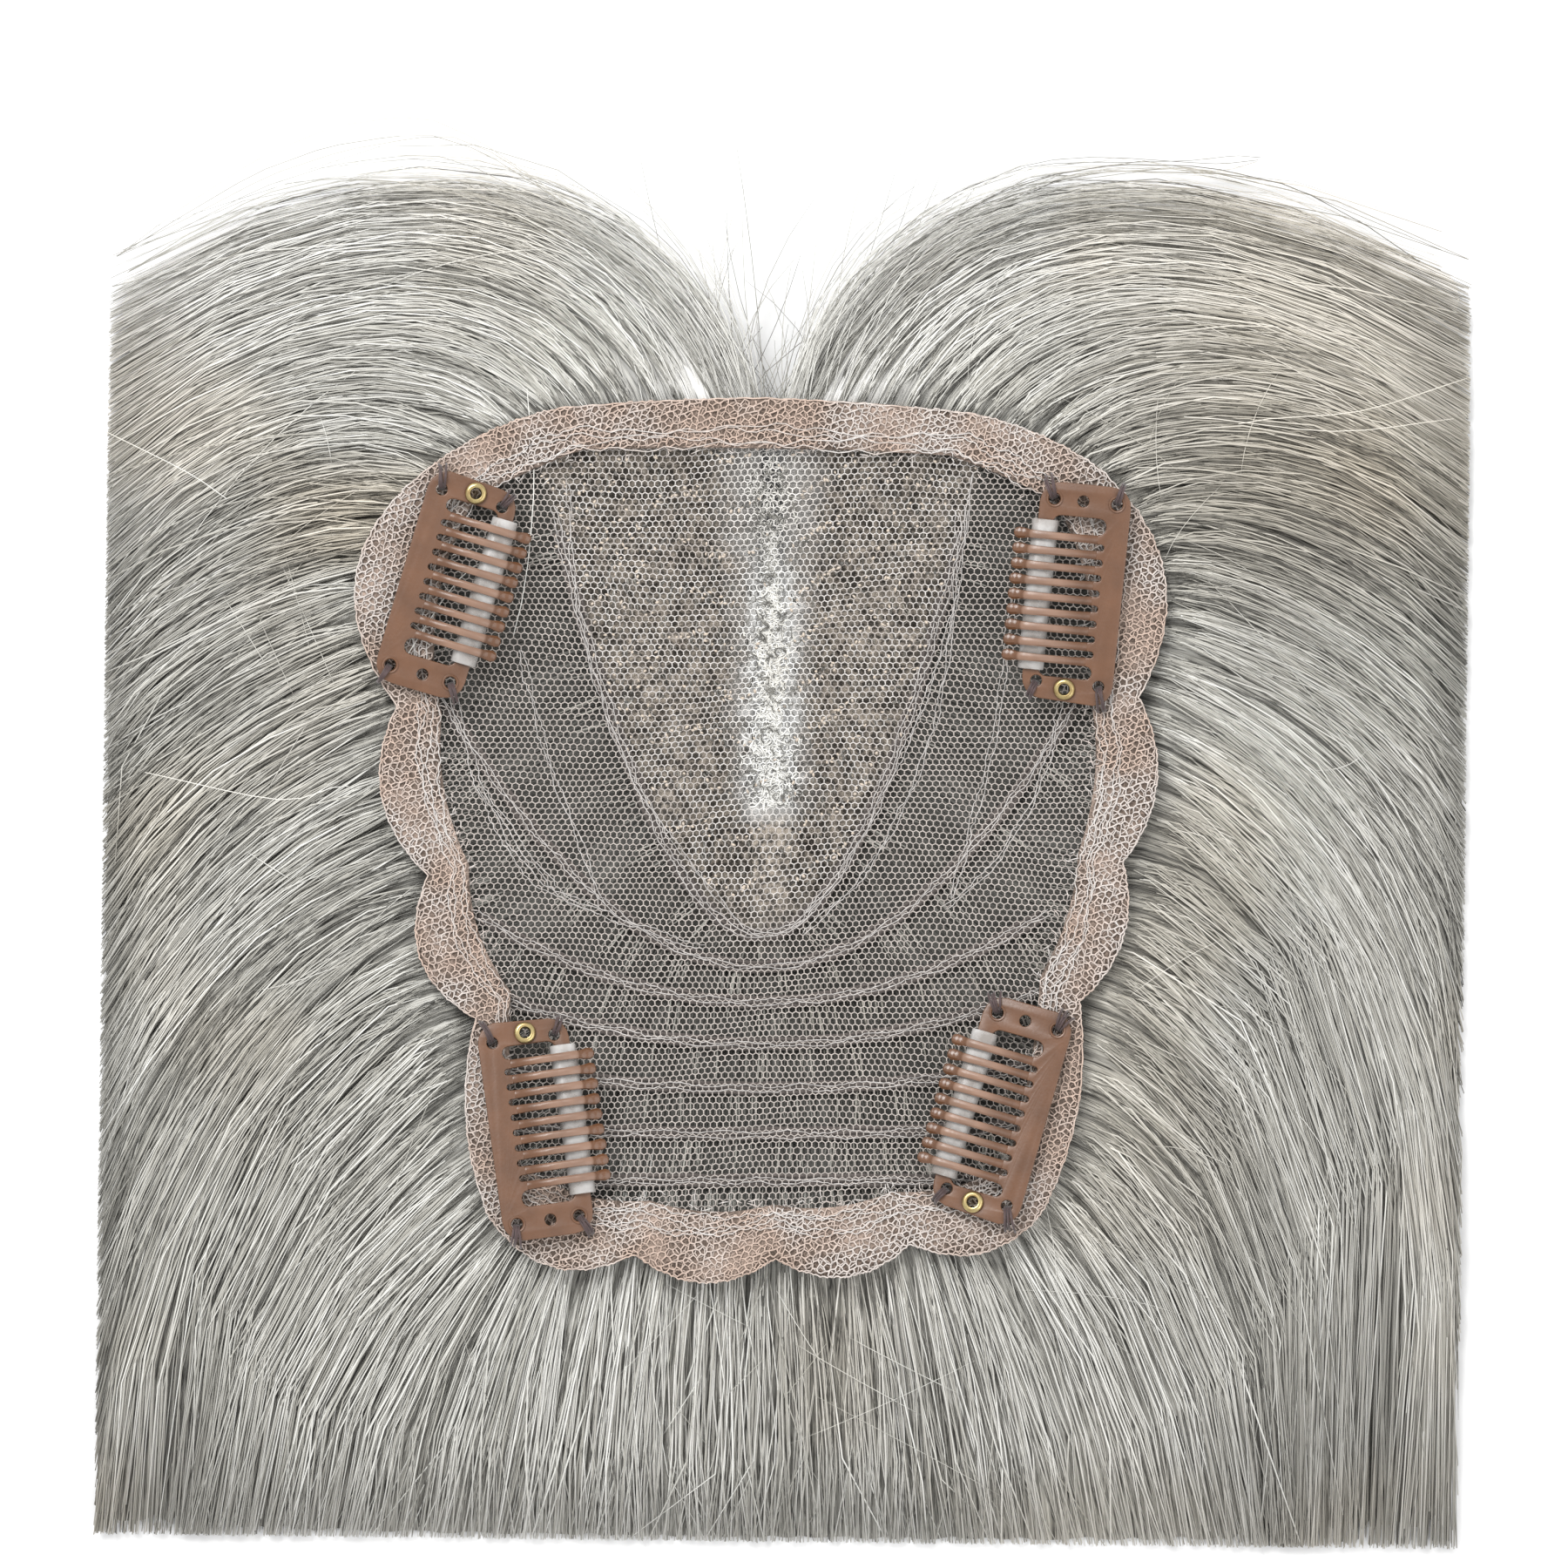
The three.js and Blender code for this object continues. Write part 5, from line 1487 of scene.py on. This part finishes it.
    def crossing(self, size, rng):
        """Single hairs over the rest, each at its own angle."""
        count = 110
        places = rng.uniform(0.2, LAST_ROW, count)
        sides = rng.choice([-1.0, 1.0], count)
        start = controls_at(places, sides)
        finish = controls_at(np.clip(places + rng.normal(0, 0.55, count), 0, LAST_ROW), sides)
        begin = rng.uniform(0.02, 0.6, count)
        share = np.linspace(0, 1, 6)
        t = begin[:, None] + rng.uniform(0.12, 0.4, count)[:, None] * share
        blend = share[None, :, None]
        flat = along_controls(start, t) * (1 - blend) + along_controls(finish, t) * blend
        z = hair_top(flat, start[:, 2], t) + 0.2 + 0.5 * np.sin(share * math.pi)
        wide = size * rng.uniform(0.3, 0.5, (count, 1)) * np.array([0.5, 1, 1, 1, 1, 0.4])
        return tube_arrays(raised(flat, z), wide, uv_v=rng.uniform(0.3, 0.9, count))


class TOPPER_OT_combs(bpy.types.Operator):
    """Snap combs: plate and teeth, sleeve, eyelet and sewing thread"""

    bl_idname = "topper.make_combs"
    bl_label = "Make Combs"

    def execute(self, context):
        settings = context.scene.topper
        lacquer = self.lacquer(settings)
        silicone = self.silicone()
        brass = self.brass()
        thread = thread_material("sewing_thread", settings.thread_color, 0.6, 1500.0)
        for number, comb in enumerate(COMBS):
            place = comb_matrix(comb)
            name = comb["name"]
            plate = plate_object(f"comb_{name}", place)
            plate.data.materials.append(lacquer)
            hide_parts(f"clip_{name}")
            sleeve = sleeve_object(f"comb_sleeve_{name}", place)
            sleeve.data.materials.append(silicone)
            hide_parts(f"sleeve_{name}")
            eyelet = eyelet_object(f"comb_eyelet_{name}", place)
            eyelet.data.materials.append(brass)
            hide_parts(f"eyelet_{name}")
            loops = thread_object(f"comb_thread_{name}", place, np.random.default_rng(40 + number))
            loops.data.materials.append(thread)
        return {"FINISHED"}

    def lacquer(self, settings):
        s = Shader("lacquer", Roughness=0.38, **{"Coat_Weight": 0.25, "Coat_Roughness": 0.25})
        along = s.split(s.flow(), "X")
        # The teeth are paler over the middle of their length
        pale_middle = s.span(along, 0.2, 0.3) * s.span(along, 0.52, 0.56, 1.0, 0.0)
        fine = s.noise(s.position(), 2600.0, 2.0)
        patch = s.noise(s.position(), 240.0, 3.0)
        level = s.span(patch, 0.3, 0.7, 0.85, 1.15)
        tint = s.node("ShaderNodeCombineColor", None, level, level, level)
        base = s.mix(pale_middle * 0.9, tuple(settings.lacquer_color), tuple(settings.tooth_middle_color))
        s.feed("Base Color", s.mix(1.0, base, tint, "MULTIPLY"))
        s.feed("Roughness", s.span(fine, 0.3, 0.7, 0.3, 0.46) - s.span(along, 0.56, 0.6) * 0.14)
        s.bump(fine, 0.00004, 0.5)
        return s.material

    def silicone(self):
        s = Shader("silicone", Roughness=0.28, **{"Transmission_Weight": 0.35, "IOR": 1.41})
        cloud = s.noise(s.position((1, 1, 1)), 420.0, 3.0)
        s.feed("Base Color", s.mix(s.span(cloud, 0.35, 0.7), (0.46, 0.42, 0.39), (0.78, 0.76, 0.74)))
        s.feed("Roughness", s.span(cloud, 0.3, 0.7, 0.2, 0.4))
        s.bump(cloud, 0.0001, 0.4)
        return s.material

    def brass(self):
        s = Shader("brass", Metallic=1.0, Roughness=0.25)
        tarnish = s.noise(s.position(), 900.0, 3.0)
        s.feed("Base Color", s.mix(s.span(tarnish, 0.4, 0.75), (0.62, 0.5, 0.24), (0.3, 0.2, 0.09)))
        s.feed("Roughness", s.span(tarnish, 0.3, 0.7, 0.18, 0.42))
        return s.material


def comb_matrix(comb):
    """Where a comb lies on the lace, tilted as the dish is there."""
    px, py = comb["x"] * HALF[0], comb["y"] * HALF[1]
    radius = math.hypot(px, py)
    slope = float(lace_under(radius + 0.5) - lace_under(radius - 0.5))
    normal = Vector((-slope * px / radius, -slope * py / radius, 1)).normalized()
    tilt = Vector((0, 0, 1)).rotation_difference(normal).to_matrix().to_4x4()
    spin = Matrix.Rotation(math.radians(comb["turn"]), 4, "Z")
    seat = Matrix.Translation((px, py, float(lace_under(radius)) + EDGE_TOP + COMB_RISE))
    return seat @ tilt @ spin


def place_by(matrix, points):
    return points @ np.array(matrix.to_3x3()).T + np.array(matrix.translation)


def arc(middle, radius, first, last, steps=5):
    angles = np.radians(np.linspace(first, last, steps))
    return [(middle[0] + radius * math.cos(a), middle[1] + radius * math.sin(a)) for a in angles]


def plate_outlines():
    """The plate's outline, its comb-shaped window and its holes, each a closed run of points."""
    c = PLATE_CORNER
    high = PLATE_END - END_SLANT
    outer = arc((c - PLATE_SIDE, c - PLATE_END), c, 180, 270)
    outer += arc((BAR_OUTER - c, c - PLATE_END), c, 270, 360)
    outer += arc((BAR_OUTER - c, high - c), c, 0, 82)
    outer += arc((c - PLATE_SIDE, PLATE_END - c), c, 97, 180)
    r = WINDOW_ROUND
    window = arc((BAR_INNER - r, WINDOW_FOOT + r), r, 270, 360)
    window += arc((BAR_INNER - r, WINDOW_TOP - r), r, 0, 90)
    first = WINDOW_TOP - FIRST_WINDOW
    slot_start = SPINE_INNER + SLOT_DEPTH
    edges = [WINDOW_TOP]
    for i in range(TOOTH_COUNT):
        middle = first - i * TOOTH_PITCH
        edges += [middle + TOOTH_WIDTH / 2, middle - TOOTH_WIDTH / 2]
    edges.append(WINDOW_FOOT)
    for top, bottom in zip(edges[::2], edges[1::2]):
        half = (top - bottom) / 2
        round_it = min(half * 0.98, SLOT_DEPTH)
        window += [(slot_start, top)] if top != WINDOW_TOP else []
        window += arc((SPINE_INNER + round_it, top - round_it), round_it, 90, 180, 4)
        window += arc((SPINE_INNER + round_it, bottom + round_it), round_it, 180, 270, 4)
        window += [(slot_start, bottom)] if bottom != WINDOW_FOOT else []
    hole_x = PLATE_SIDE - HOLE_SIDE_INSET
    holes = [(-hole_x, HEAD_HOLE_Y), (hole_x - BAR_INSET, HEAD_HOLE_Y)]
    holes += [(-hole_x, FOOT_HOLE_Y), (0, FOOT_HOLE_Y), (hole_x - BAR_INSET, FOOT_HOLE_Y)]
    circles = [arc(h, HOLE_RADIUS, 0, 337.5, 16) for h in holes]
    circles.append(arc((0, EYELET_Y), EYELET_RADIUS - EYELET_FLANGE + FIT_GAP, 0, 337.5, 16))
    return [outer, window, *circles]


def plate_object(name, place):
    """A comb: its plate cut from an outline, with rounded edges, and its teeth."""
    curve = bpy.data.curves.new(f"{name}_outline", "CURVE")
    curve.dimensions = "2D"
    curve.fill_mode = "BOTH"
    curve.extrude = PLATE_WALL / 2 - PLATE_BEVEL
    curve.bevel_depth = PLATE_BEVEL
    curve.bevel_resolution = 2
    curve.offset = -PLATE_BEVEL
    for run in plate_outlines():
        spline = curve.splines.new("POLY")
        spline.points.add(len(run) - 1)
        spline.points.foreach_set("co", [v for x, y in run for v in (x, y, 0.0, 1.0)])
        spline.use_cyclic_u = True
    source = bpy.data.objects.new(curve.name, curve)
    bpy.context.collection.objects.link(source)
    bpy.context.view_layer.update()
    mesh = bpy.data.meshes.new_from_object(source.evaluated_get(bpy.context.evaluated_depsgraph_get()))
    bpy.data.objects.remove(source)
    work = bmesh.new()
    work.from_mesh(mesh)
    bmesh.ops.translate(work, verts=work.verts, vec=(0, 0, PLATE_WALL / 2))
    bmesh.ops.remove_doubles(work, verts=work.verts, dist=1e-4)
    bmesh.ops.triangulate(work, faces=work.faces)
    work.verts.index_update()
    plate_points = np.array([v.co for v in work.verts])
    plate_faces = [np.array([[v.index for v in f.verts] for f in work.faces])]
    work.free()
    plate = (plate_points, plate_faces, np.zeros((len(plate_points), 2)))
    points, faces, uv = merge_arrays([plate, teeth_arrays(), rim_arrays()])
    obj = add_mesh(name, place_by(place, points), faces, uv)
    turn_out(obj)
    smooth_by_angle(obj, 35)
    return obj


def smooth_by_angle(obj, degrees):
    """Sharp edges stay sharp and the others are smooth."""
    work = bmesh.new()
    work.from_mesh(obj.data)
    limit = math.radians(degrees)
    for edge in work.edges:
        edge.smooth = len(edge.link_faces) != 2 or edge.calc_face_angle() < limit
    work.to_mesh(obj.data)
    work.free()


def teeth_arrays():
    """The teeth: each leaves the spine, arches over the sleeve and ends in a dipped bead."""
    first = WINDOW_TOP - FIRST_WINDOW
    over = SLEEVE_TOP + FIT_GAP + TOOTH_WALL / 2
    rise = BAR_MIDDLE - 2.9
    tip = PLATE_SIDE + TOOTH_OVERSHOOT
    keys = np.array(
        [
            (SPINE_INNER + 0.4, PLATE_WALL / 2, 1.0, 0.9),
            (SPINE_INNER + 1.4, PLATE_WALL / 2 + 0.1, 1.0, 1.0),
            ((SPINE_INNER + rise) / 2, (PLATE_WALL / 2 + over) / 2 + 0.15, 0.92, 1.0),
            (rise, over - 0.1, 0.88, 1.0),
            (BAR_MIDDLE, over, 0.9, 1.0),
            (BAR_MIDDLE + 1.6, over - 0.15, 0.95, 1.0),
            (tip - 2.1, over - TOOTH_DROP * 0.6, 1.0, 1.1),
            (tip - 1.5, over - TOOTH_DROP * 0.9, 1.2, 1.6),
            (tip - 0.8, over - TOOTH_DROP, 1.35, 1.9),
            (tip - 0.2, over - TOOTH_DROP, 1.0, 1.4),
            (tip, over - TOOTH_DROP, 0.35, 0.5),
        ]
    )
    place = np.linspace(0, len(keys) - 1, 21)
    x, z, wide, thick = (np.interp(place, np.arange(len(keys)), keys[:, k]) for k in range(4))
    y = first - np.arange(TOOTH_COUNT) * TOOTH_PITCH
    count, steps = TOOTH_COUNT, len(place)
    paths = np.stack(np.broadcast_arrays(x[None], y[:, None], z[None]), axis=-1)
    return tube_arrays(
        paths,
        np.broadcast_to(wide * TOOTH_WIDTH, (count, steps)),
        np.broadcast_to(thick * TOOTH_WALL, (count, steps)),
        sides=8,
    )


def rim_arrays():
    """Raised rims round the two outer holes of the plate's foot."""
    hole_x = PLATE_SIDE - HOLE_SIDE_INSET
    turn = np.radians(np.linspace(0, 364, 26))
    ring = np.stack([np.cos(turn), np.sin(turn), np.zeros_like(turn)], axis=1) * (HOLE_RADIUS + 0.22)
    middles = np.array([(-hole_x, FOOT_HOLE_Y, PLATE_WALL), (hole_x - BAR_INSET, FOOT_HOLE_Y, PLATE_WALL)])
    points, faces, uv = tube_arrays(middles[:, None] + ring[None], 0.4, sides=8)
    return points, faces, uv * 0


def sleeve_object(name, place):
    """The silicone sleeve: a flattened tube, open at both ends."""
    thick = PLATE_WALL + 2 * (FIT_GAP + SLEEVE_WALL)
    wide = BAR_WIDTH + 2 * (FIT_GAP + SLEEVE_WALL)

    def section(cut):
        r = thick / 2 - cut
        reach = wide / 2 - cut - r
        return arc((reach, 0), r, -90, 90, 9) + arc((-reach, 0), r, 90, 270, 9)

    top, foot = WINDOW_TOP - SLEEVE_END_GAP, WINDOW_FOOT + SLEEVE_END_GAP
    cuts = [(foot, 0.12), (foot + 0.12, 0), (top - 0.12, 0), (top, 0.12)]
    cuts += [(top, SLEEVE_WALL), (foot, SLEEVE_WALL)]
    loop = np.array([[(x + BAR_MIDDLE, y, z + PLATE_WALL / 2) for x, z in section(cut)] for y, cut in cuts])
    count, columns = loop.shape[:2]
    i, j = (a.ravel() for a in np.meshgrid(np.arange(count), np.arange(columns), indexing="ij"))
    at = lambda a, b: (a % count) * columns + b % columns
    quads = np.stack([at(i, j), at(i, j + 1), at(i + 1, j + 1), at(i + 1, j)], axis=1)
    obj = add_mesh(name, place_by(place, loop.reshape(-1, 3)), [quads], None)
    turn_out(obj)
    smooth_by_angle(obj, 50)
    return obj


def eyelet_object(name, place):
    """The brass eyelet: a rolled ring through the plate, spun from its section."""
    barrel = EYELET_RADIUS - EYELET_FLANGE
    top = PLATE_WALL + FIT_GAP
    roll = [(EYELET_BORE, top + 0.1), (EYELET_BORE + 0.12, top + 0.36), (barrel + 0.05, top + 0.42)]
    roll += [(EYELET_RADIUS - 0.1, top + 0.3), (EYELET_RADIUS, top + 0.1), (EYELET_RADIUS - 0.1, top)]
    foot = [(barrel, top), (barrel, -FIT_GAP), (EYELET_RADIUS, -FIT_GAP), (EYELET_RADIUS, -FIT_GAP - 0.3)]
    foot += [(EYELET_BORE, -FIT_GAP - 0.3)]
    work = bmesh.new()
    verts = [work.verts.new((x, EYELET_Y, z)) for x, z in roll + foot]
    edges = [work.edges.new((a, b)) for a, b in zip(verts, verts[1:] + verts[:1])]
    bmesh.ops.spin(
        work,
        geom=verts + edges,
        cent=(0, EYELET_Y, 0),
        axis=(0, 0, 1),
        angle=2 * math.pi,
        steps=32,
        use_merge=True,
    )
    work.verts.index_update()
    points = np.array([v.co for v in work.verts])
    faces = [np.array([[v.index for v in f.verts] for f in work.faces])]
    work.free()
    obj = add_mesh(name, place_by(place, points), faces, None)
    turn_out(obj)
    smooth_by_angle(obj, 50)
    return obj


def thread_object(name, place, rng):
    """Sewing thread: two or three loops from each corner hole over the plate's edge into the lace."""
    hole_x = PLATE_SIDE - HOLE_SIDE_INSET
    corners = (
        (-hole_x, HEAD_HOLE_Y, -0.35, 1.0, 3.5),
        (hole_x - BAR_INSET, HEAD_HOLE_Y, 0.5, 1.0, 2.7),
        (-hole_x, FOOT_HOLE_Y, -0.25, -1.0, 3.1),
        (hole_x - BAR_INSET, FOOT_HOLE_Y, 0.5, -1.0, 3.3),
    )
    steps = 12
    share = np.linspace(0, 1, steps)
    paths = []
    for x, y, ax, ay, reach in corners:
        way = np.array([ax, ay]) / math.hypot(ax, ay)
        aside = np.array([-way[1], way[0]])
        for number in range(4):
            turn = rng.normal(0, 0.12)
            heading = way * math.cos(turn) + aside * math.sin(turn)
            away = (share * reach * rng.uniform(0.92, 1.12))[:, None] * heading
            start = np.array([x, y]) + aside * (number - 1.5) * 0.24
            z = -1.3 + 2.6 * np.sin(np.clip(share * 1.04, 0, 1) * math.pi) ** 0.4 + rng.uniform(-0.1, 0.15)
            paths.append(np.concatenate([start + away, z[:, None]], axis=1))
    paths = place_by(place, np.array(paths))
    points, faces, uv = tube_arrays(paths, 0.36, sides=6)
    return add_mesh(name, points, faces, uv)


class TOPPER_OT_stage(bpy.types.Operator):
    """Pale table, soft light and the camera straight above"""

    bl_idname = "topper.set_stage"
    bl_label = "Set Stage"

    def execute(self, context):
        scene = context.scene
        work = bmesh.new()
        bmesh.ops.create_grid(work, x_segments=1, y_segments=1, size=3.0)
        mesh = bpy.data.meshes.new("table")
        work.to_mesh(mesh)
        work.free()
        table = bpy.data.objects.new("table", mesh)
        scene.collection.objects.link(table)
        s = Shader("table", Roughness=0.6)
        s.surface.inputs["Base Color"].default_value = (0.93, 0.93, 0.93, 1)
        mesh.materials.append(s.material)
        world = bpy.data.worlds.new("studio")
        scene.world = world
        world.use_nodes = True
        back = world.node_tree.nodes["Background"]
        back.inputs["Color"].default_value = (1, 1, 1, 1)
        back.inputs["Strength"].default_value = 0.75
        for name, place, power, size in (
            ("key", (-0.35, 0.55, 0.9), 9.0, 0.5),
            ("fill", (0.6, -0.2, 0.8), 3.0, 0.8),
        ):
            light = bpy.data.lights.new(name, "AREA")
            light.energy = power
            light.size = size
            lamp = bpy.data.objects.new(name, light)
            lamp.location = place
            lamp.rotation_mode = "QUATERNION"
            lamp.rotation_quaternion = (-Vector(place)).to_track_quat("-Z", "Y")
            scene.collection.objects.link(lamp)
        camera = bpy.data.cameras.new("camera")
        camera.lens = LENS
        camera.sensor_width = 36
        distance = VIEW_WIDTH * MM * LENS / 36
        eye = bpy.data.objects.new("camera", camera)
        middle = (np.array([*VIEW_MIDDLE, 14.0]) + SHIFT) * MM
        eye.location = (middle[0], middle[1], middle[2] + distance)
        camera.clip_start, camera.clip_end = 0.01, 10
        scene.collection.objects.link(eye)
        scene.camera = eye
        scene.view_settings.view_transform = "Standard"
        # Light that bounces on among the hairs more often changes little and takes long
        scene.cycles.max_bounces = 4
        scene.cycles.diffuse_bounces = 1
        scene.cycles.glossy_bounces = 1
        return {"FINISHED"}


class TOPPER_PT_panel(bpy.types.Panel):
    """Lists the topper's pieces"""

    bl_idname = "TOPPER_PT_panel"
    bl_label = "Hair Topper"
    bl_space_type = "VIEW_3D"
    bl_region_type = "UI"
    bl_category = "Hair Topper"

    def draw(self, context):
        settings = context.scene.topper
        for name in TopperSettings.__annotations__:
            self.layout.prop(settings, name)
        for operator in OPERATORS:
            self.layout.operator(operator.bl_idname)


OPERATORS = (
    TOPPER_OT_net,
    TOPPER_OT_edge,
    TOPPER_OT_wefts,
    TOPPER_OT_hair,
    TOPPER_OT_strands,
    TOPPER_OT_roots,
    TOPPER_OT_stray,
    TOPPER_OT_seams,
    TOPPER_OT_combs,
    TOPPER_OT_stage,
)
CLASSES = (TopperSettings, *OPERATORS, TOPPER_PT_panel)


def register():
    for cls in CLASSES:
        bpy.utils.register_class(cls)
    bpy.types.Scene.topper = bpy.props.PointerProperty(type=TopperSettings)


def unregister():
    del bpy.types.Scene.topper
    for cls in reversed(CLASSES):
        bpy.utils.unregister_class(cls)


def main():
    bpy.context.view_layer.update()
    register()
    bpy.ops.topper.make_net()
    bpy.ops.topper.make_edge()
    bpy.ops.topper.make_wefts()
    bpy.ops.topper.make_hair()
    bpy.ops.topper.make_strands()
    bpy.ops.topper.make_roots()
    bpy.ops.topper.make_stray()
    bpy.ops.topper.make_seams()
    bpy.ops.topper.make_combs()
    bpy.ops.topper.set_stage()


if __name__ == "__main__":
    main()
